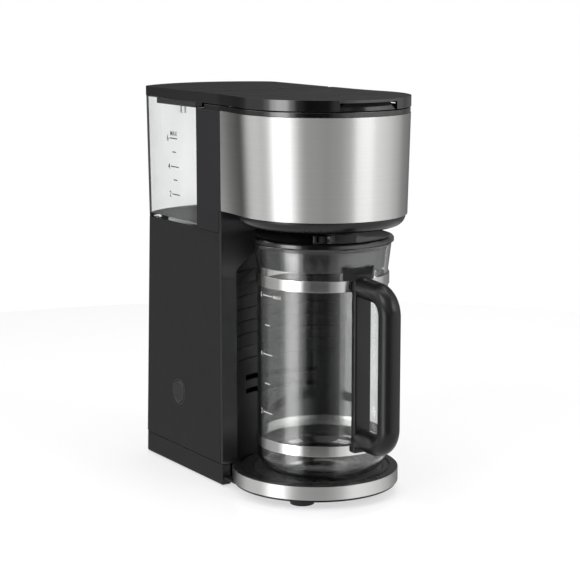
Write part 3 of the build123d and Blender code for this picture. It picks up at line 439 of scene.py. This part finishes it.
def brushed_lines_group():
    """The marks of brushing: fine lines and broad streaks along U of a map in metres."""
    group, takes, gives = group_of(
        "brushed_lines",
        (("Vector", "NodeSocketVector", (0.0, 0.0, 0.0)), ("Color", "NodeSocketColor", STEEL),
         ("Roughness", "NodeSocketFloat", STEEL_ROUGH)))
    link = group.links.new
    fine_map = node_of(group, "ShaderNodeMapping", Scale=FINE_LINES)
    broad_map = node_of(group, "ShaderNodeMapping", Scale=BROAD_STREAKS)
    fine = node_of(group, "ShaderNodeTexNoise", noise_dimensions="2D", Scale=1.0, Detail=3.0)
    broad = node_of(group, "ShaderNodeTexNoise", noise_dimensions="2D", Scale=1.0, Detail=4.0)
    for spread, noise in ((fine_map, fine), (broad_map, broad)):
        link(takes.outputs["Vector"], spread.inputs["Vector"])
        link(spread.outputs["Vector"], noise.inputs["Vector"])
    both = worked(group, "MULTIPLY_ADD", broad.outputs["Fac"], STREAK_SHARE, fine.outputs["Fac"])
    rougher = worked(group, "MULTIPLY_ADD", broad.outputs["Fac"], STREAK_ROUGH,
                     takes.outputs["Roughness"])
    tinted = node_of(group, "ShaderNodeHueSaturation")
    link(ranged(group, both, LINE_RANGE, to=LINE_TONES), tinted.inputs["Value"])
    link(takes.outputs["Color"], tinted.inputs["Color"])
    bump = node_of(group, "ShaderNodeBump", Strength=LINE_DEPTH, Distance=LINE_HEIGHT)
    link(fine.outputs["Fac"], bump.inputs["Height"])
    link(tinted.outputs[0], gives.inputs["Color"])
    link(rougher, gives.inputs["Roughness"])
    link(bump.outputs["Normal"], gives.inputs["Normal"])
    return group


brushed_lines = brushed_lines_group()


def brushed(name, color, roughness, anisotropy):
    """Brushed steel: lines along U, and reflections drawn out across them."""
    material = bpy.data.materials.new(name)
    material.use_nodes = True
    tree = material.node_tree
    shader = tree.nodes["Principled BSDF"]
    shader.inputs["Metallic"].default_value = 1.0
    shader.inputs["Anisotropic"].default_value = anisotropy
    shader.inputs["Anisotropic Rotation"].default_value = STEEL_GRAIN_TURN
    spread = node_of(tree, "ShaderNodeUVMap", uv_map="round_and_up")
    lines = node_of(tree, "ShaderNodeGroup", node_tree=brushed_lines, Color=color, Roughness=roughness)
    grain_way = node_of(tree, "ShaderNodeTangent", direction_type="UV_MAP", uv_map="round_and_up")
    tree.links.new(spread.outputs["UV"], lines.inputs["Vector"])
    tree.links.new(lines.outputs["Color"], shader.inputs["Base Color"])
    tree.links.new(lines.outputs["Roughness"], shader.inputs["Roughness"])
    tree.links.new(lines.outputs["Normal"], shader.inputs["Normal"])
    tree.links.new(grain_way.outputs["Tangent"], shader.inputs["Tangent"])
    return material


def wrap_round(mesh, centre, radius):
    """A UV map in metres: round the upright axis from the front, and up it."""
    layer = mesh.loops.layers.uv.new("round_and_up")
    for face in mesh.faces:
        out = face.calc_center_median() - centre
        middle = math.atan2(out.x, -out.y)
        for loop in face.loops:
            out = loop.vert.co - centre
            step = math.atan2(out.x, -out.y) - middle
            step -= math.tau * round(step / math.tau)
            loop[layer].uv = (radius * (middle + step), loop.vert.co.z)


def cut_behind(mesh, y):
    """Cut away all that lies behind an upright plane. Gives the edges of the cut."""
    everything = mesh.verts[:] + mesh.edges[:] + mesh.faces[:]
    cut = bmesh.ops.bisect_plane(mesh, geom=everything, dist=MERGE, plane_co=(0.0, y, 0.0),
                                 plane_no=(0.0, 1.0, 0.0), clear_outer=True)
    return [e for e in cut["geom_cut"] if isinstance(e, bmesh.types.BMEdge)]


def strip_between(mesh, low_line, high_line, cut_y=None):
    """A sheet strip between two level lines, thickened inwards, with its edges eased."""
    bmesh.ops.bridge_loops(mesh, edges=low_line + high_line)
    if cut_y is not None:
        cut_behind(mesh, cut_y)
    bmesh.ops.recalc_face_normals(mesh, faces=mesh.faces)
    bmesh.ops.solidify(mesh, geom=mesh.faces[:], thickness=STEEL_SHEET)
    bmesh.ops.recalc_face_normals(mesh, faces=mesh.faces)
    eased(mesh, STEEL_EDGE, above=SQUARE_ABOVE)


def spun_line(mesh, start, centre, turn, steps):
    """A vertex drawn round an upright axis into a line of edges. Gives the line and its end."""
    before = set(mesh.edges)
    made = bmesh.ops.spin(mesh, geom=[start], cent=centre, axis=(0, 0, 1), angle=turn, steps=steps,
                          use_merge=False, use_duplicate=False)
    end = [v for v in made["geom_last"] if isinstance(v, bmesh.types.BMVert)][0]
    return [e for e in mesh.edges if e not in before], end


band_steel = brushed("brushed_band_steel", STEEL, STEEL_ROUGH, BAND_ANISOTROPY)
low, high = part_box("base_steel_band")
base_r = high.x
base_centre = Vector((0.0, low.y + base_r, 0.0))
open_angle = math.asin((high.y - base_centre.y) / base_r)
mesh = bmesh.new()
rings = []
for z in (low.z, high.z):
    start = mesh.verts.new((base_r * math.cos(open_angle), high.y, z))
    rings.append(spun_line(mesh, start, base_centre, -(math.pi + 2 * open_angle), BAND_STEPS)[0])
strip_between(mesh, rings[0], rings[1])
wrap_round(mesh, base_centre, base_r)
base_band = shown_piece(mesh, "base_band_strip", "machine", [band_steel])
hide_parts("base_steel_band")

# Hot plate: a round of steel with three pressed rings, under a dark non-stick coat. It lies
# in the middle of the deck, with the heater clamped under it.
PLATE_COAT = (0.022, 0.022, 0.022, 1.0)
PLATE_ROUGH = 0.26
PLATE_EDGE = 0.00015

plate_coat = moulded("plate_coat", PLATE_COAT, PLATE_ROUGH, grain=900.0, rubbed=0.2, Coat_Weight=0.3)
dressed("warming_plate", "hot_plate", PLATE_EDGE, plate_coat)

# Column front: one moulding of black plastic with an arched hollow for the carafe, rib
# grooves across it and two slots. It is a shade glossier than the side panels.
COLUMN_BLACK = (0.017, 0.017, 0.0174, 1.0)
COLUMN_ROUGH = 0.34
COLUMN_EDGE = 0.0003

column_black = moulded("column_plastic", COLUMN_BLACK, COLUMN_ROUGH, depth=0.35)
dressed("column_front", "column_moulding", COLUMN_EDGE, column_black)

# Neck and liner: the neck is a cool grey plastic trim between the tank and the drum, open to
# the front. The liner is the drum's frame, moulded in the column's plastic, which carries
# the steel band, the lid's hinge and the brewing parts.
NECK_GREY = (0.0165, 0.016, 0.0185, 1.0)
NECK_ROUGH = 0.46
NECK_SHEEN = 0.25
NECK_EDGE = 0.0004

neck_grey = moulded("neck_plastic", NECK_GREY, NECK_ROUGH, Specular_IOR_Level=NECK_SHEEN)
dressed("neck_shell", "neck_moulding", NECK_EDGE, neck_grey)
dressed("drum_frame", "drum_liner_moulding", COLUMN_EDGE, column_black)

# Drum band: stainless sheet rolled round the front of the brew drum, drawn in a little
# towards the bottom, flaring into the flat sides of the column, brushed round its length.
DRUM_ROUGH = 0.34
DRUM_ANISOTROPY = 0.95
DRUM_SIDE_X = 0.0595
DRUM_LOW_R = 0.0624
DRUM_FLARE_R = 0.240
DRUM_SPARE = 0.012
FLARE_STEPS = 14
DRUM_STEPS = 150


def drum_line(mesh, radius, centre_y, z):
    """One level line of the drum: a straight side, a flare, the round front, and back."""
    flare_x = DRUM_SIDE_X + DRUM_FLARE_R
    rise = math.sqrt((radius + DRUM_FLARE_R) ** 2 - flare_x ** 2)
    turn = math.atan2(rise, flare_x)
    bend_y = centre_y + rise
    start = mesh.verts.new((DRUM_SIDE_X, bend_y + DRUM_SPARE, z))
    bend = mesh.verts.new((DRUM_SIDE_X, bend_y, z))
    line = [mesh.edges.new((start, bend))]
    end = bend
    for centre, angle, steps in (((flare_x, bend_y, z), turn, FLARE_STEPS),
                                 ((0.0, centre_y, z), -(math.pi + 2 * turn), DRUM_STEPS),
                                 ((-flare_x, bend_y, z), turn, FLARE_STEPS)):
        run, end = spun_line(mesh, end, centre, angle, steps)
        line += run
    finish = mesh.verts.new((-DRUM_SIDE_X, bend_y + DRUM_SPARE, z))
    return line + [mesh.edges.new((end, finish))]


drum_steel = brushed("brushed_drum_steel", STEEL, DRUM_ROUGH, DRUM_ANISOTROPY)
low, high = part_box("drum_steel_band")
drum_centre = Vector((0.0, low.y + high.x, 0.0))
mesh = bmesh.new()
low_line = drum_line(mesh, DRUM_LOW_R, drum_centre.y, low.z)
high_line = drum_line(mesh, high.x, drum_centre.y, high.z)
strip_between(mesh, low_line, high_line, cut_y=high.y)
wrap_round(mesh, drum_centre, high.x)
drum_band = shown_piece(mesh, "drum_band_sheet", "machine", [drum_steel])
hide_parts("drum_steel_band")

# Rim: a polished black ring between the steel drum and the brew lid, pressed on to the
# drum's frame.
POLISHED_BLACK = (0.004, 0.004, 0.0042, 1.0)
POLISHED_ROUGH = 0.07
RIM_EDGE = 0.0004

polished = moulded("polished_black_plastic", POLISHED_BLACK, POLISHED_ROUGH, depth=0.03, rubbed=0.05,
                   Specular_IOR_Level=1.0)
dressed("rim_ring", "drum_rim_moulding", RIM_EDGE, polished)

# Drip dish: a shallow black bowl that closes the drum from below, moulded with a full round
# edge. It clips to the drum's frame, is cut flat against the column, and leaves a round hole
# for the outlet.
DISH_BLACK = (0.007, 0.007, 0.008, 1.0)
DISH_ROUGH = 0.24
DISH_SHEEN = 0.45
DISH_OUT_R = 0.0612
DISH_FLAT_R = 0.0530
DISH_DEEP = 0.00845
DISH_WALL = 0.0018
DISH_HOLE_R = 0.0090
DISH_EDGE = 0.0004
ARC_STEPS = 10
TURN_STEPS = 128


def arc(centre, radius, from_deg, to_deg):
    """Points of a round stretch of a section, as (out, up)."""
    points = []
    for i in range(ARC_STEPS + 1):
        at = math.radians(from_deg + (to_deg - from_deg) * i / ARC_STEPS)
        points.append((centre[0] + radius * math.cos(at), centre[1] + radius * math.sin(at)))
    return points


def turned(section, centre, closed=True):
    """A mesh spun from its half section, given as (out, up) points."""
    mesh = bmesh.new()
    verts = [mesh.verts.new((centre.x + out, centre.y, up)) for out, up in section]
    edges = [mesh.edges.new(pair) for pair in zip(verts, verts[1:])]
    if closed:
        edges.append(mesh.edges.new((verts[-1], verts[0])))
    bmesh.ops.spin(mesh, geom=verts + edges, cent=centre, axis=(0, 0, 1), angle=math.tau,
                   steps=TURN_STEPS, use_merge=True, use_duplicate=False)
    bmesh.ops.remove_doubles(mesh, verts=mesh.verts, dist=MERGE)
    bmesh.ops.recalc_face_normals(mesh, faces=mesh.faces)
    return mesh


low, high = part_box("drip_dish")
bend_r = DISH_OUT_R - DISH_FLAT_R
dish_low = high.z - DISH_DEEP
section = [(DISH_HOLE_R, dish_low)]
section += arc((DISH_FLAT_R, dish_low + bend_r), bend_r, -90, 0)
section += [(DISH_OUT_R, high.z), (DISH_OUT_R - DISH_WALL, high.z)]
section += arc((DISH_FLAT_R, dish_low + bend_r), bend_r - DISH_WALL, 0, -90)
section += [(DISH_HOLE_R, dish_low + DISH_WALL)]
mesh = turned(section, drum_centre)
bmesh.ops.contextual_create(mesh, geom=cut_behind(mesh, high.y))
bmesh.ops.recalc_face_normals(mesh, faces=mesh.faces)
eased(mesh, DISH_EDGE, above=SQUARE_ABOVE)
dish_black = moulded("dish_plastic", DISH_BLACK, DISH_ROUGH, depth=0.1, Specular_IOR_Level=DISH_SHEEN)
dish = shown_piece(mesh, "drip_dish_moulding", "machine", [dish_black])
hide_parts("drip_dish")

# Lids: black plastic, satin on the top face inside a thin bright edge, and polished on the
# walls. The brew lid has a finger scoop under its front lip, the tank lid a plug inside, and
# both swing on steel pins at the back.
LID_TOP_GREY = (0.010, 0.010, 0.010, 1.0)
LID_TOP_ROUGH = 0.44
LID_TOP_SHEEN = 0.26
LID_EDGE = 0.00055
TOP_FACES_WITHIN = 0.98
TOP_DEPTH = 1e-5

lid_satin = moulded("lid_top_plastic", LID_TOP_GREY, LID_TOP_ROUGH, grain=1900.0, depth=0.45,
                    Specular_IOR_Level=LID_TOP_SHEEN)


def lid_piece(node, name):
    """A lid with rounded edges, polished walls and a satin top."""
    mesh = copied(node)
    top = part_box(node)[1].z
    eased(mesh, LID_EDGE)
    mesh.normal_update()
    for face in mesh.faces:
        if face.normal.z > TOP_FACES_WITHIN and face.calc_center_median().z > top - TOP_DEPTH:
            face.material_index = 1
    piece = shown_piece(mesh, name, body_of_node(node), [polished, lid_satin])
    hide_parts(node)


lid_piece("brew_lid", "brew_lid_moulding")
lid_piece("tank_lid", "tank_lid_moulding")

# Water tank: clear plastic, polished inside and out, with thick walls that gather a
# cool tint at their edges, and cup marks printed on its left wall.
TANK_TINT = (0.955, 0.965, 0.960, 1.0)
TANK_IOR = 1.49
TANK_SHEEN = 0.5
TANK_EDGE = 0.0006
CLEAR_ROUGH = 0.030
CLEAR_WIPED = 0.03
CLEAR_DEPTH = 0.01


def clear(name, tint, ior, specular):
    """A clear wall: faint wiping marks change its roughness, and nothing else."""
    material = bpy.data.materials.new(name)
    material.use_nodes = True
    tree = material.node_tree
    shader = tree.nodes["Principled BSDF"]
    shader.inputs["Transmission Weight"].default_value = 1.0
    shader.inputs["IOR"].default_value = ior
    shader.inputs["Specular IOR Level"].default_value = specular
    skin = node_of(tree, "ShaderNodeGroup", node_tree=moulded_skin, Color=tint, Roughness=CLEAR_ROUGH,
                   Depth=CLEAR_DEPTH, Rubbed=CLEAR_WIPED)
    tree.links.new(skin.outputs["Color"], shader.inputs["Base Color"])
    tree.links.new(skin.outputs["Roughness"], shader.inputs["Roughness"])
    return material


tank_clear = clear("clear_tank_plastic", TANK_TINT, TANK_IOR, TANK_SHEEN)
dressed("water_tank", "water_tank_wall", TANK_EDGE, tank_clear)

# Tank marks: cup numbers, short and long strokes and the word for the fill limit, printed
# in dark ink on the left wall, which leans out a little towards the top.
INK_DARK = (0.035, 0.035, 0.040, 1.0)
INK_ROUGH = 0.5
INK_PROUD = 0.00004
TANK_INK_OUT = INK_PROUD / 4
STROKE_HIGH = 0.0008
# The font's size for a capital of one unit, and how much its strokes are thickened.
LETTER_SIZE = 1.4
LETTER_BOLD = 0.01
LETTER_STEPS = 3
TANK_WALL_X = 0.0580
TANK_WALL_LEAN = 0.0005 / 0.0938
TANK_WALL_FOOT = 0.1926
LONG_STROKE = 0.012
SHORT_STROKE = 0.0058
TANK_DIGIT_HIGH = 0.0046
TANK_DIGIT_GAP = 0.0015
TANK_WORD_HIGH = 0.0036
TANK_WORD_IN = 0.001
TANK_WORD_OVER = 0.0038
# Each mark has its cup number, its height and where its stroke ends towards the front.
TANK_CUPS = ((6, 0.2566, 0.0631), (4, 0.2350, 0.0614), (2, 0.2138, 0.0599))
TANK_HALVES = ((0.2462, 0.0654), (0.2249, 0.0638))


def lettering(words, height, side="LEFT"):
    """A word or number as a thin closed mesh in the XY plane, standing on the X axis."""
    curve = bpy.data.curves.new("lettering", "FONT")
    curve.body = words
    curve.size = height * LETTER_SIZE
    curve.align_x = side
    curve.offset = height * LETTER_BOLD
    curve.extrude = INK_PROUD
    curve.resolution_u = LETTER_STEPS
    shape = bpy.data.objects.new("lettering", curve)
    bpy.context.scene.collection.objects.link(shape)
    bpy.context.view_layer.update()
    data = bpy.data.meshes.new_from_object(shape.evaluated_get(bpy.context.evaluated_depsgraph_get()))
    bpy.data.objects.remove(shape)
    return data


def stroke(mesh, start, length, up, cuts=1):
    """A thin printed stroke in the XY plane, from its left end."""
    made = bmesh.ops.create_cube(mesh, size=1.0)["verts"]
    bmesh.ops.scale(mesh, verts=made, vec=(length, STROKE_HIGH, 2 * INK_PROUD))
    bmesh.ops.translate(mesh, verts=made, vec=(start + length / 2, up, 0.0))
    if cuts > 1:
        along_x = [e for e in mesh.edges if e.verts[0] in made and e.verts[1] in made
                   and abs(e.verts[0].co.x - e.verts[1].co.x) > length / 2]
        bmesh.ops.subdivide_edges(mesh, edges=along_x, cuts=cuts, use_grid_fill=True)


def written(mesh, words, height, start, up, side="LEFT"):
    """Lettering added to a mesh in the XY plane, its middle at a height."""
    data = lettering(words, height, side)
    before = set(mesh.verts)
    mesh.from_mesh(data)
    bpy.data.meshes.remove(data)
    new = [v for v in mesh.verts if v not in before]
    bmesh.ops.translate(mesh, verts=new, vec=(start, up - height / 2, 0.0))


mesh = bmesh.new()
for cup, up, end_y in TANK_CUPS:
    stroke(mesh, -end_y - LONG_STROKE, LONG_STROKE, up)
    written(mesh, str(cup), TANK_DIGIT_HIGH, -end_y - LONG_STROKE - TANK_DIGIT_GAP, up, side="RIGHT")
for up, end_y in TANK_HALVES:
    stroke(mesh, -end_y - SHORT_STROKE, SHORT_STROKE, up)
up, end_y = TANK_CUPS[0][1:]
written(mesh, "MAX", TANK_WORD_HIGH, -end_y - LONG_STROKE + TANK_WORD_IN, up + TANK_WORD_OVER)
for vert in mesh.verts:
    across, up, proud = vert.co
    wall_x = -TANK_WALL_X - TANK_WALL_LEAN * (up - TANK_WALL_FOOT)
    vert.co = (wall_x - proud - TANK_INK_OUT, -across, up)
bmesh.ops.remove_doubles(mesh, verts=mesh.verts, dist=MERGE)
dark_ink = moulded("dark_ink", INK_DARK, INK_ROUGH, depth=0.2)
shown_piece(mesh, "tank_cup_marks", "tank", [dark_ink])

# Button: a round push button in a raised ring, both moulded in satin black plastic. The ring
# sits low on the left side panel, and the cap slides in it.
BUTTON_BLACK = (0.026, 0.026, 0.027, 1.0)
BUTTON_ROUGH = 0.30
BUTTON_RING_EDGE = 0.0005
BUTTON_CAP_EDGE = 0.0008

button_black = moulded("button_plastic", BUTTON_BLACK, BUTTON_ROUGH, depth=0.25)
dressed("button_bezel", "button_ring", BUTTON_RING_EDGE, button_black)
dressed("power_button", "button_cap", BUTTON_CAP_EDGE, button_black)

# Carafe: blown glass with a domed bottom, a round heel and a slightly flared mouth.
# The wall is one turned section, with the rim melted round.
GLASS_TINT = (0.975, 0.985, 0.980, 1.0)
GLASS_IOR = 1.47
GLASS_SHEEN = 0.6
GLASS_SHARP_ABOVE = 60.0
GLASS_BODY_R = 0.048
GLASS_WALL = 0.0024
GLASS_HEEL_R = 0.014
GLASS_FLARE_UP = 0.151
GLASS_DOME = 0.004
GLASS_DOME_R = 0.030
GLASS_DOME_IN = 0.001


def dome(reach, base_up, rise):
    """Points of a shallow dome from its foot to its middle."""
    ball = (reach ** 2 + rise ** 2) / (2 * rise)
    points = []
    for i in range(ARC_STEPS + 1):
        out = reach * (1 - i / ARC_STEPS)
        points.append((out, base_up + rise - ball + math.sqrt(ball ** 2 - out ** 2)))
    return points


low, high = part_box("carafe_glass")
carafe_axis = Vector((0.0, (low.y + high.y) / 2, 0.0))
foot, mouth = low.z, high.z
mouth_r = high.x
flat_r = GLASS_BODY_R - GLASS_HEEL_R
rim_r = GLASS_WALL / 2
section = dome(GLASS_DOME_R, foot, GLASS_DOME)[::-1]
section += arc((flat_r, foot + GLASS_HEEL_R), GLASS_HEEL_R, -90, 0)
section += [(GLASS_BODY_R, foot + GLASS_FLARE_UP)]
section += arc((mouth_r - rim_r, mouth - rim_r), rim_r, 0, 180)
section += [(GLASS_BODY_R - GLASS_WALL, foot + GLASS_FLARE_UP)]
section += arc((flat_r, foot + GLASS_HEEL_R), GLASS_HEEL_R - GLASS_WALL, 0, -90)
section += dome(flat_r - GLASS_DOME_IN, foot + GLASS_WALL, GLASS_DOME)
mesh = turned(section, carafe_axis, closed=False)
carafe_clear = clear("carafe_glass", GLASS_TINT, GLASS_IOR, GLASS_SHEEN)
glass = shown_piece(mesh, "carafe_wall", "carafe", [carafe_clear],
                    sharp=GLASS_SHARP_ABOVE)
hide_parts("carafe_glass")

# Carafe marks: the same cup strokes and numbers, fired on to the glass in white enamel.
# They are laid out flat and bent round the wall.
ENAMEL_WHITE = (0.80, 0.80, 0.78, 1.0)
ENAMEL_ROUGH = 0.4
ENAMEL_OUT = INK_PROUD / 2
MARK_LEFT = math.radians(174.0)
MARK_LONG = 0.0121
MARK_SHORT = 0.0064
MARK_LONG_CUTS = 8
MARK_SHORT_CUTS = 6
MARK_GAP = 0.0016
MARK_DIGIT_HIGH = 0.0038
MARK_WORD_HIGH = 0.0027
TOP_MARK_UP = 0.1520
TOP_CUP = 6
CUP_PITCH = 0.0216
CARAFE_CUPS = [(cup, TOP_MARK_UP - CUP_PITCH * (TOP_CUP - cup)) for cup in (6, 4, 2)]
CARAFE_HALVES = [TOP_MARK_UP - CUP_PITCH * (TOP_CUP - cup) for cup in (5, 3)]

mesh = bmesh.new()
for cup, up in CARAFE_CUPS:
    stroke(mesh, 0.0, MARK_LONG, up, cuts=MARK_LONG_CUTS)
    written(mesh, str(cup), MARK_DIGIT_HIGH, -MARK_GAP, up, side="RIGHT")
for up in CARAFE_HALVES:
    stroke(mesh, (MARK_LONG - MARK_SHORT) / 2, MARK_SHORT, up, cuts=MARK_SHORT_CUTS)
written(mesh, "MAX", MARK_WORD_HIGH, MARK_LONG + MARK_GAP / 2, TOP_MARK_UP)
for vert in mesh.verts:
    across, up, proud = vert.co
    turn = MARK_LEFT + across / GLASS_BODY_R
    reach = GLASS_BODY_R + ENAMEL_OUT + proud
    vert.co = (carafe_axis.x + reach * math.cos(turn), carafe_axis.y + reach * math.sin(turn), up)
bmesh.ops.remove_doubles(mesh, verts=mesh.verts, dist=MERGE)
enamel = moulded("white_enamel", ENAMEL_WHITE, ENAMEL_ROUGH, depth=0.2)
shown_piece(mesh, "carafe_cup_marks", "carafe", [enamel])

# Carafe hoops: two rings of stainless strip, brushed round their length like the drum's band
# but brighter, and shrunk on to the glass above and below.
HOOP_STEEL = (0.66, 0.66, 0.65, 1.0)
HOOP_ROUGH = 0.16
HOOP_ANISOTROPY = 0.8
HOOP_EDGE = 0.0002
HOOP_GAP = 0.00005

hoop_steel = brushed("hoop_steel", HOOP_STEEL, HOOP_ROUGH, HOOP_ANISOTROPY)
for node, name in (("carafe_upper_band", "upper_hoop"), ("carafe_lower_band", "lower_hoop")):
    low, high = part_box(node)
    inner_r = GLASS_BODY_R + HOOP_GAP
    mesh = turned([(inner_r, low.z), (high.x, low.z), (high.x, high.z), (inner_r, high.z)], carafe_axis)
    eased(mesh, HOOP_EDGE, above=SQUARE_ABOVE)
    wrap_round(mesh, carafe_axis, high.x)
    hoop = shown_piece(mesh, name, "carafe", [hoop_steel])
    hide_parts(node)

# Carafe lid: one moulding of polished black plastic, a thin dished disc with a raised hub
# round its drain hole. The deep skirt under it stands in the neck, against a soft seal.
CARAFE_LID_EDGE = 0.0005

dressed("carafe_lid", "carafe_lid_moulding", CARAFE_LID_EDGE, polished)

# Handle: a D-shaped grip of matte black plastic, an oval bar bent through two round corners.
# It is screwed to a flat strap that runs down the glass, with a saddle over the upper hoop.
HANDLE_BLACK = (0.006, 0.006, 0.0063, 1.0)
HANDLE_ROUGH = 0.30
HANDLE_SHEEN = 0.36
STRAP_EDGE = 0.0008
GRIP_EDGE = 0.0006

handle_black = moulded("handle_plastic", HANDLE_BLACK, HANDLE_ROUGH, depth=0.35,
                       Specular_IOR_Level=HANDLE_SHEEN)
dressed("handle_bracket", "handle_strap", STRAP_EDGE, handle_black)
dressed("carafe_handle", "handle_grip", GRIP_EDGE, handle_black)

# Inside parts that the photograph doesn't show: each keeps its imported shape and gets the
# finish of what it is made of, such as plated steel, extruded aluminium or silicone.
PLATED_STEEL = (0.56, 0.56, 0.55, 1.0)
PLATED_ROUGH = 0.24
HEATER_ALUMINIUM = (0.62, 0.62, 0.61, 1.0)
HEATER_ROUGH = 0.42
NYLON_AMBER = (0.20, 0.16, 0.09, 1.0)
NYLON_ROUGH = 0.55
CASE_CREAM = (0.62, 0.59, 0.52, 1.0)
CASE_ROUGH = 0.5

fitting_steel = moulded("plated_steel", PLATED_STEEL, PLATED_ROUGH, grain=700.0, depth=0.15, Metallic=1.0)
heater_metal = moulded("extruded_aluminium", HEATER_ALUMINIUM, HEATER_ROUGH, grain=500.0, Metallic=1.0)
nylon_mesh = moulded("filter_nylon", NYLON_AMBER, NYLON_ROUGH, grain=1500.0, depth=1.0)
control_case = moulded("control_case", CASE_CREAM, CASE_ROUGH, grain=1200.0, depth=0.6)
INNER_FINISHES = (
    (fitting_steel, ("base_screws", "handle_screws", "lid_hinge_pins", "tank_lid_pin", "drip_stop_spring",
                     "tank_valve_spring", "switch_terminals", "heater_clamp")),
    (heater_metal, ("heater_tube",)),
    (nylon_mesh, ("mesh_filter",)),
    (control_case, ("thermostat", "thermal_fuse")),
    (rubber, ("socket_seal", "lid_seal", "cold_water_hose", "riser_tube")),
    (column_black, ("brew_chamber", "check_valve", "drip_stop", "drip_stop_cage", "filter_basket",
                    "power_switch", "spray_plate", "tank_deck", "tank_valve", "tank_valve_cage",
                    "water_arm")),
)
for material, nodes in INNER_FINISHES:
    for node in nodes:
        data = frame["nodes"][node].data
        data.materials.clear()
        data.materials.append(material)
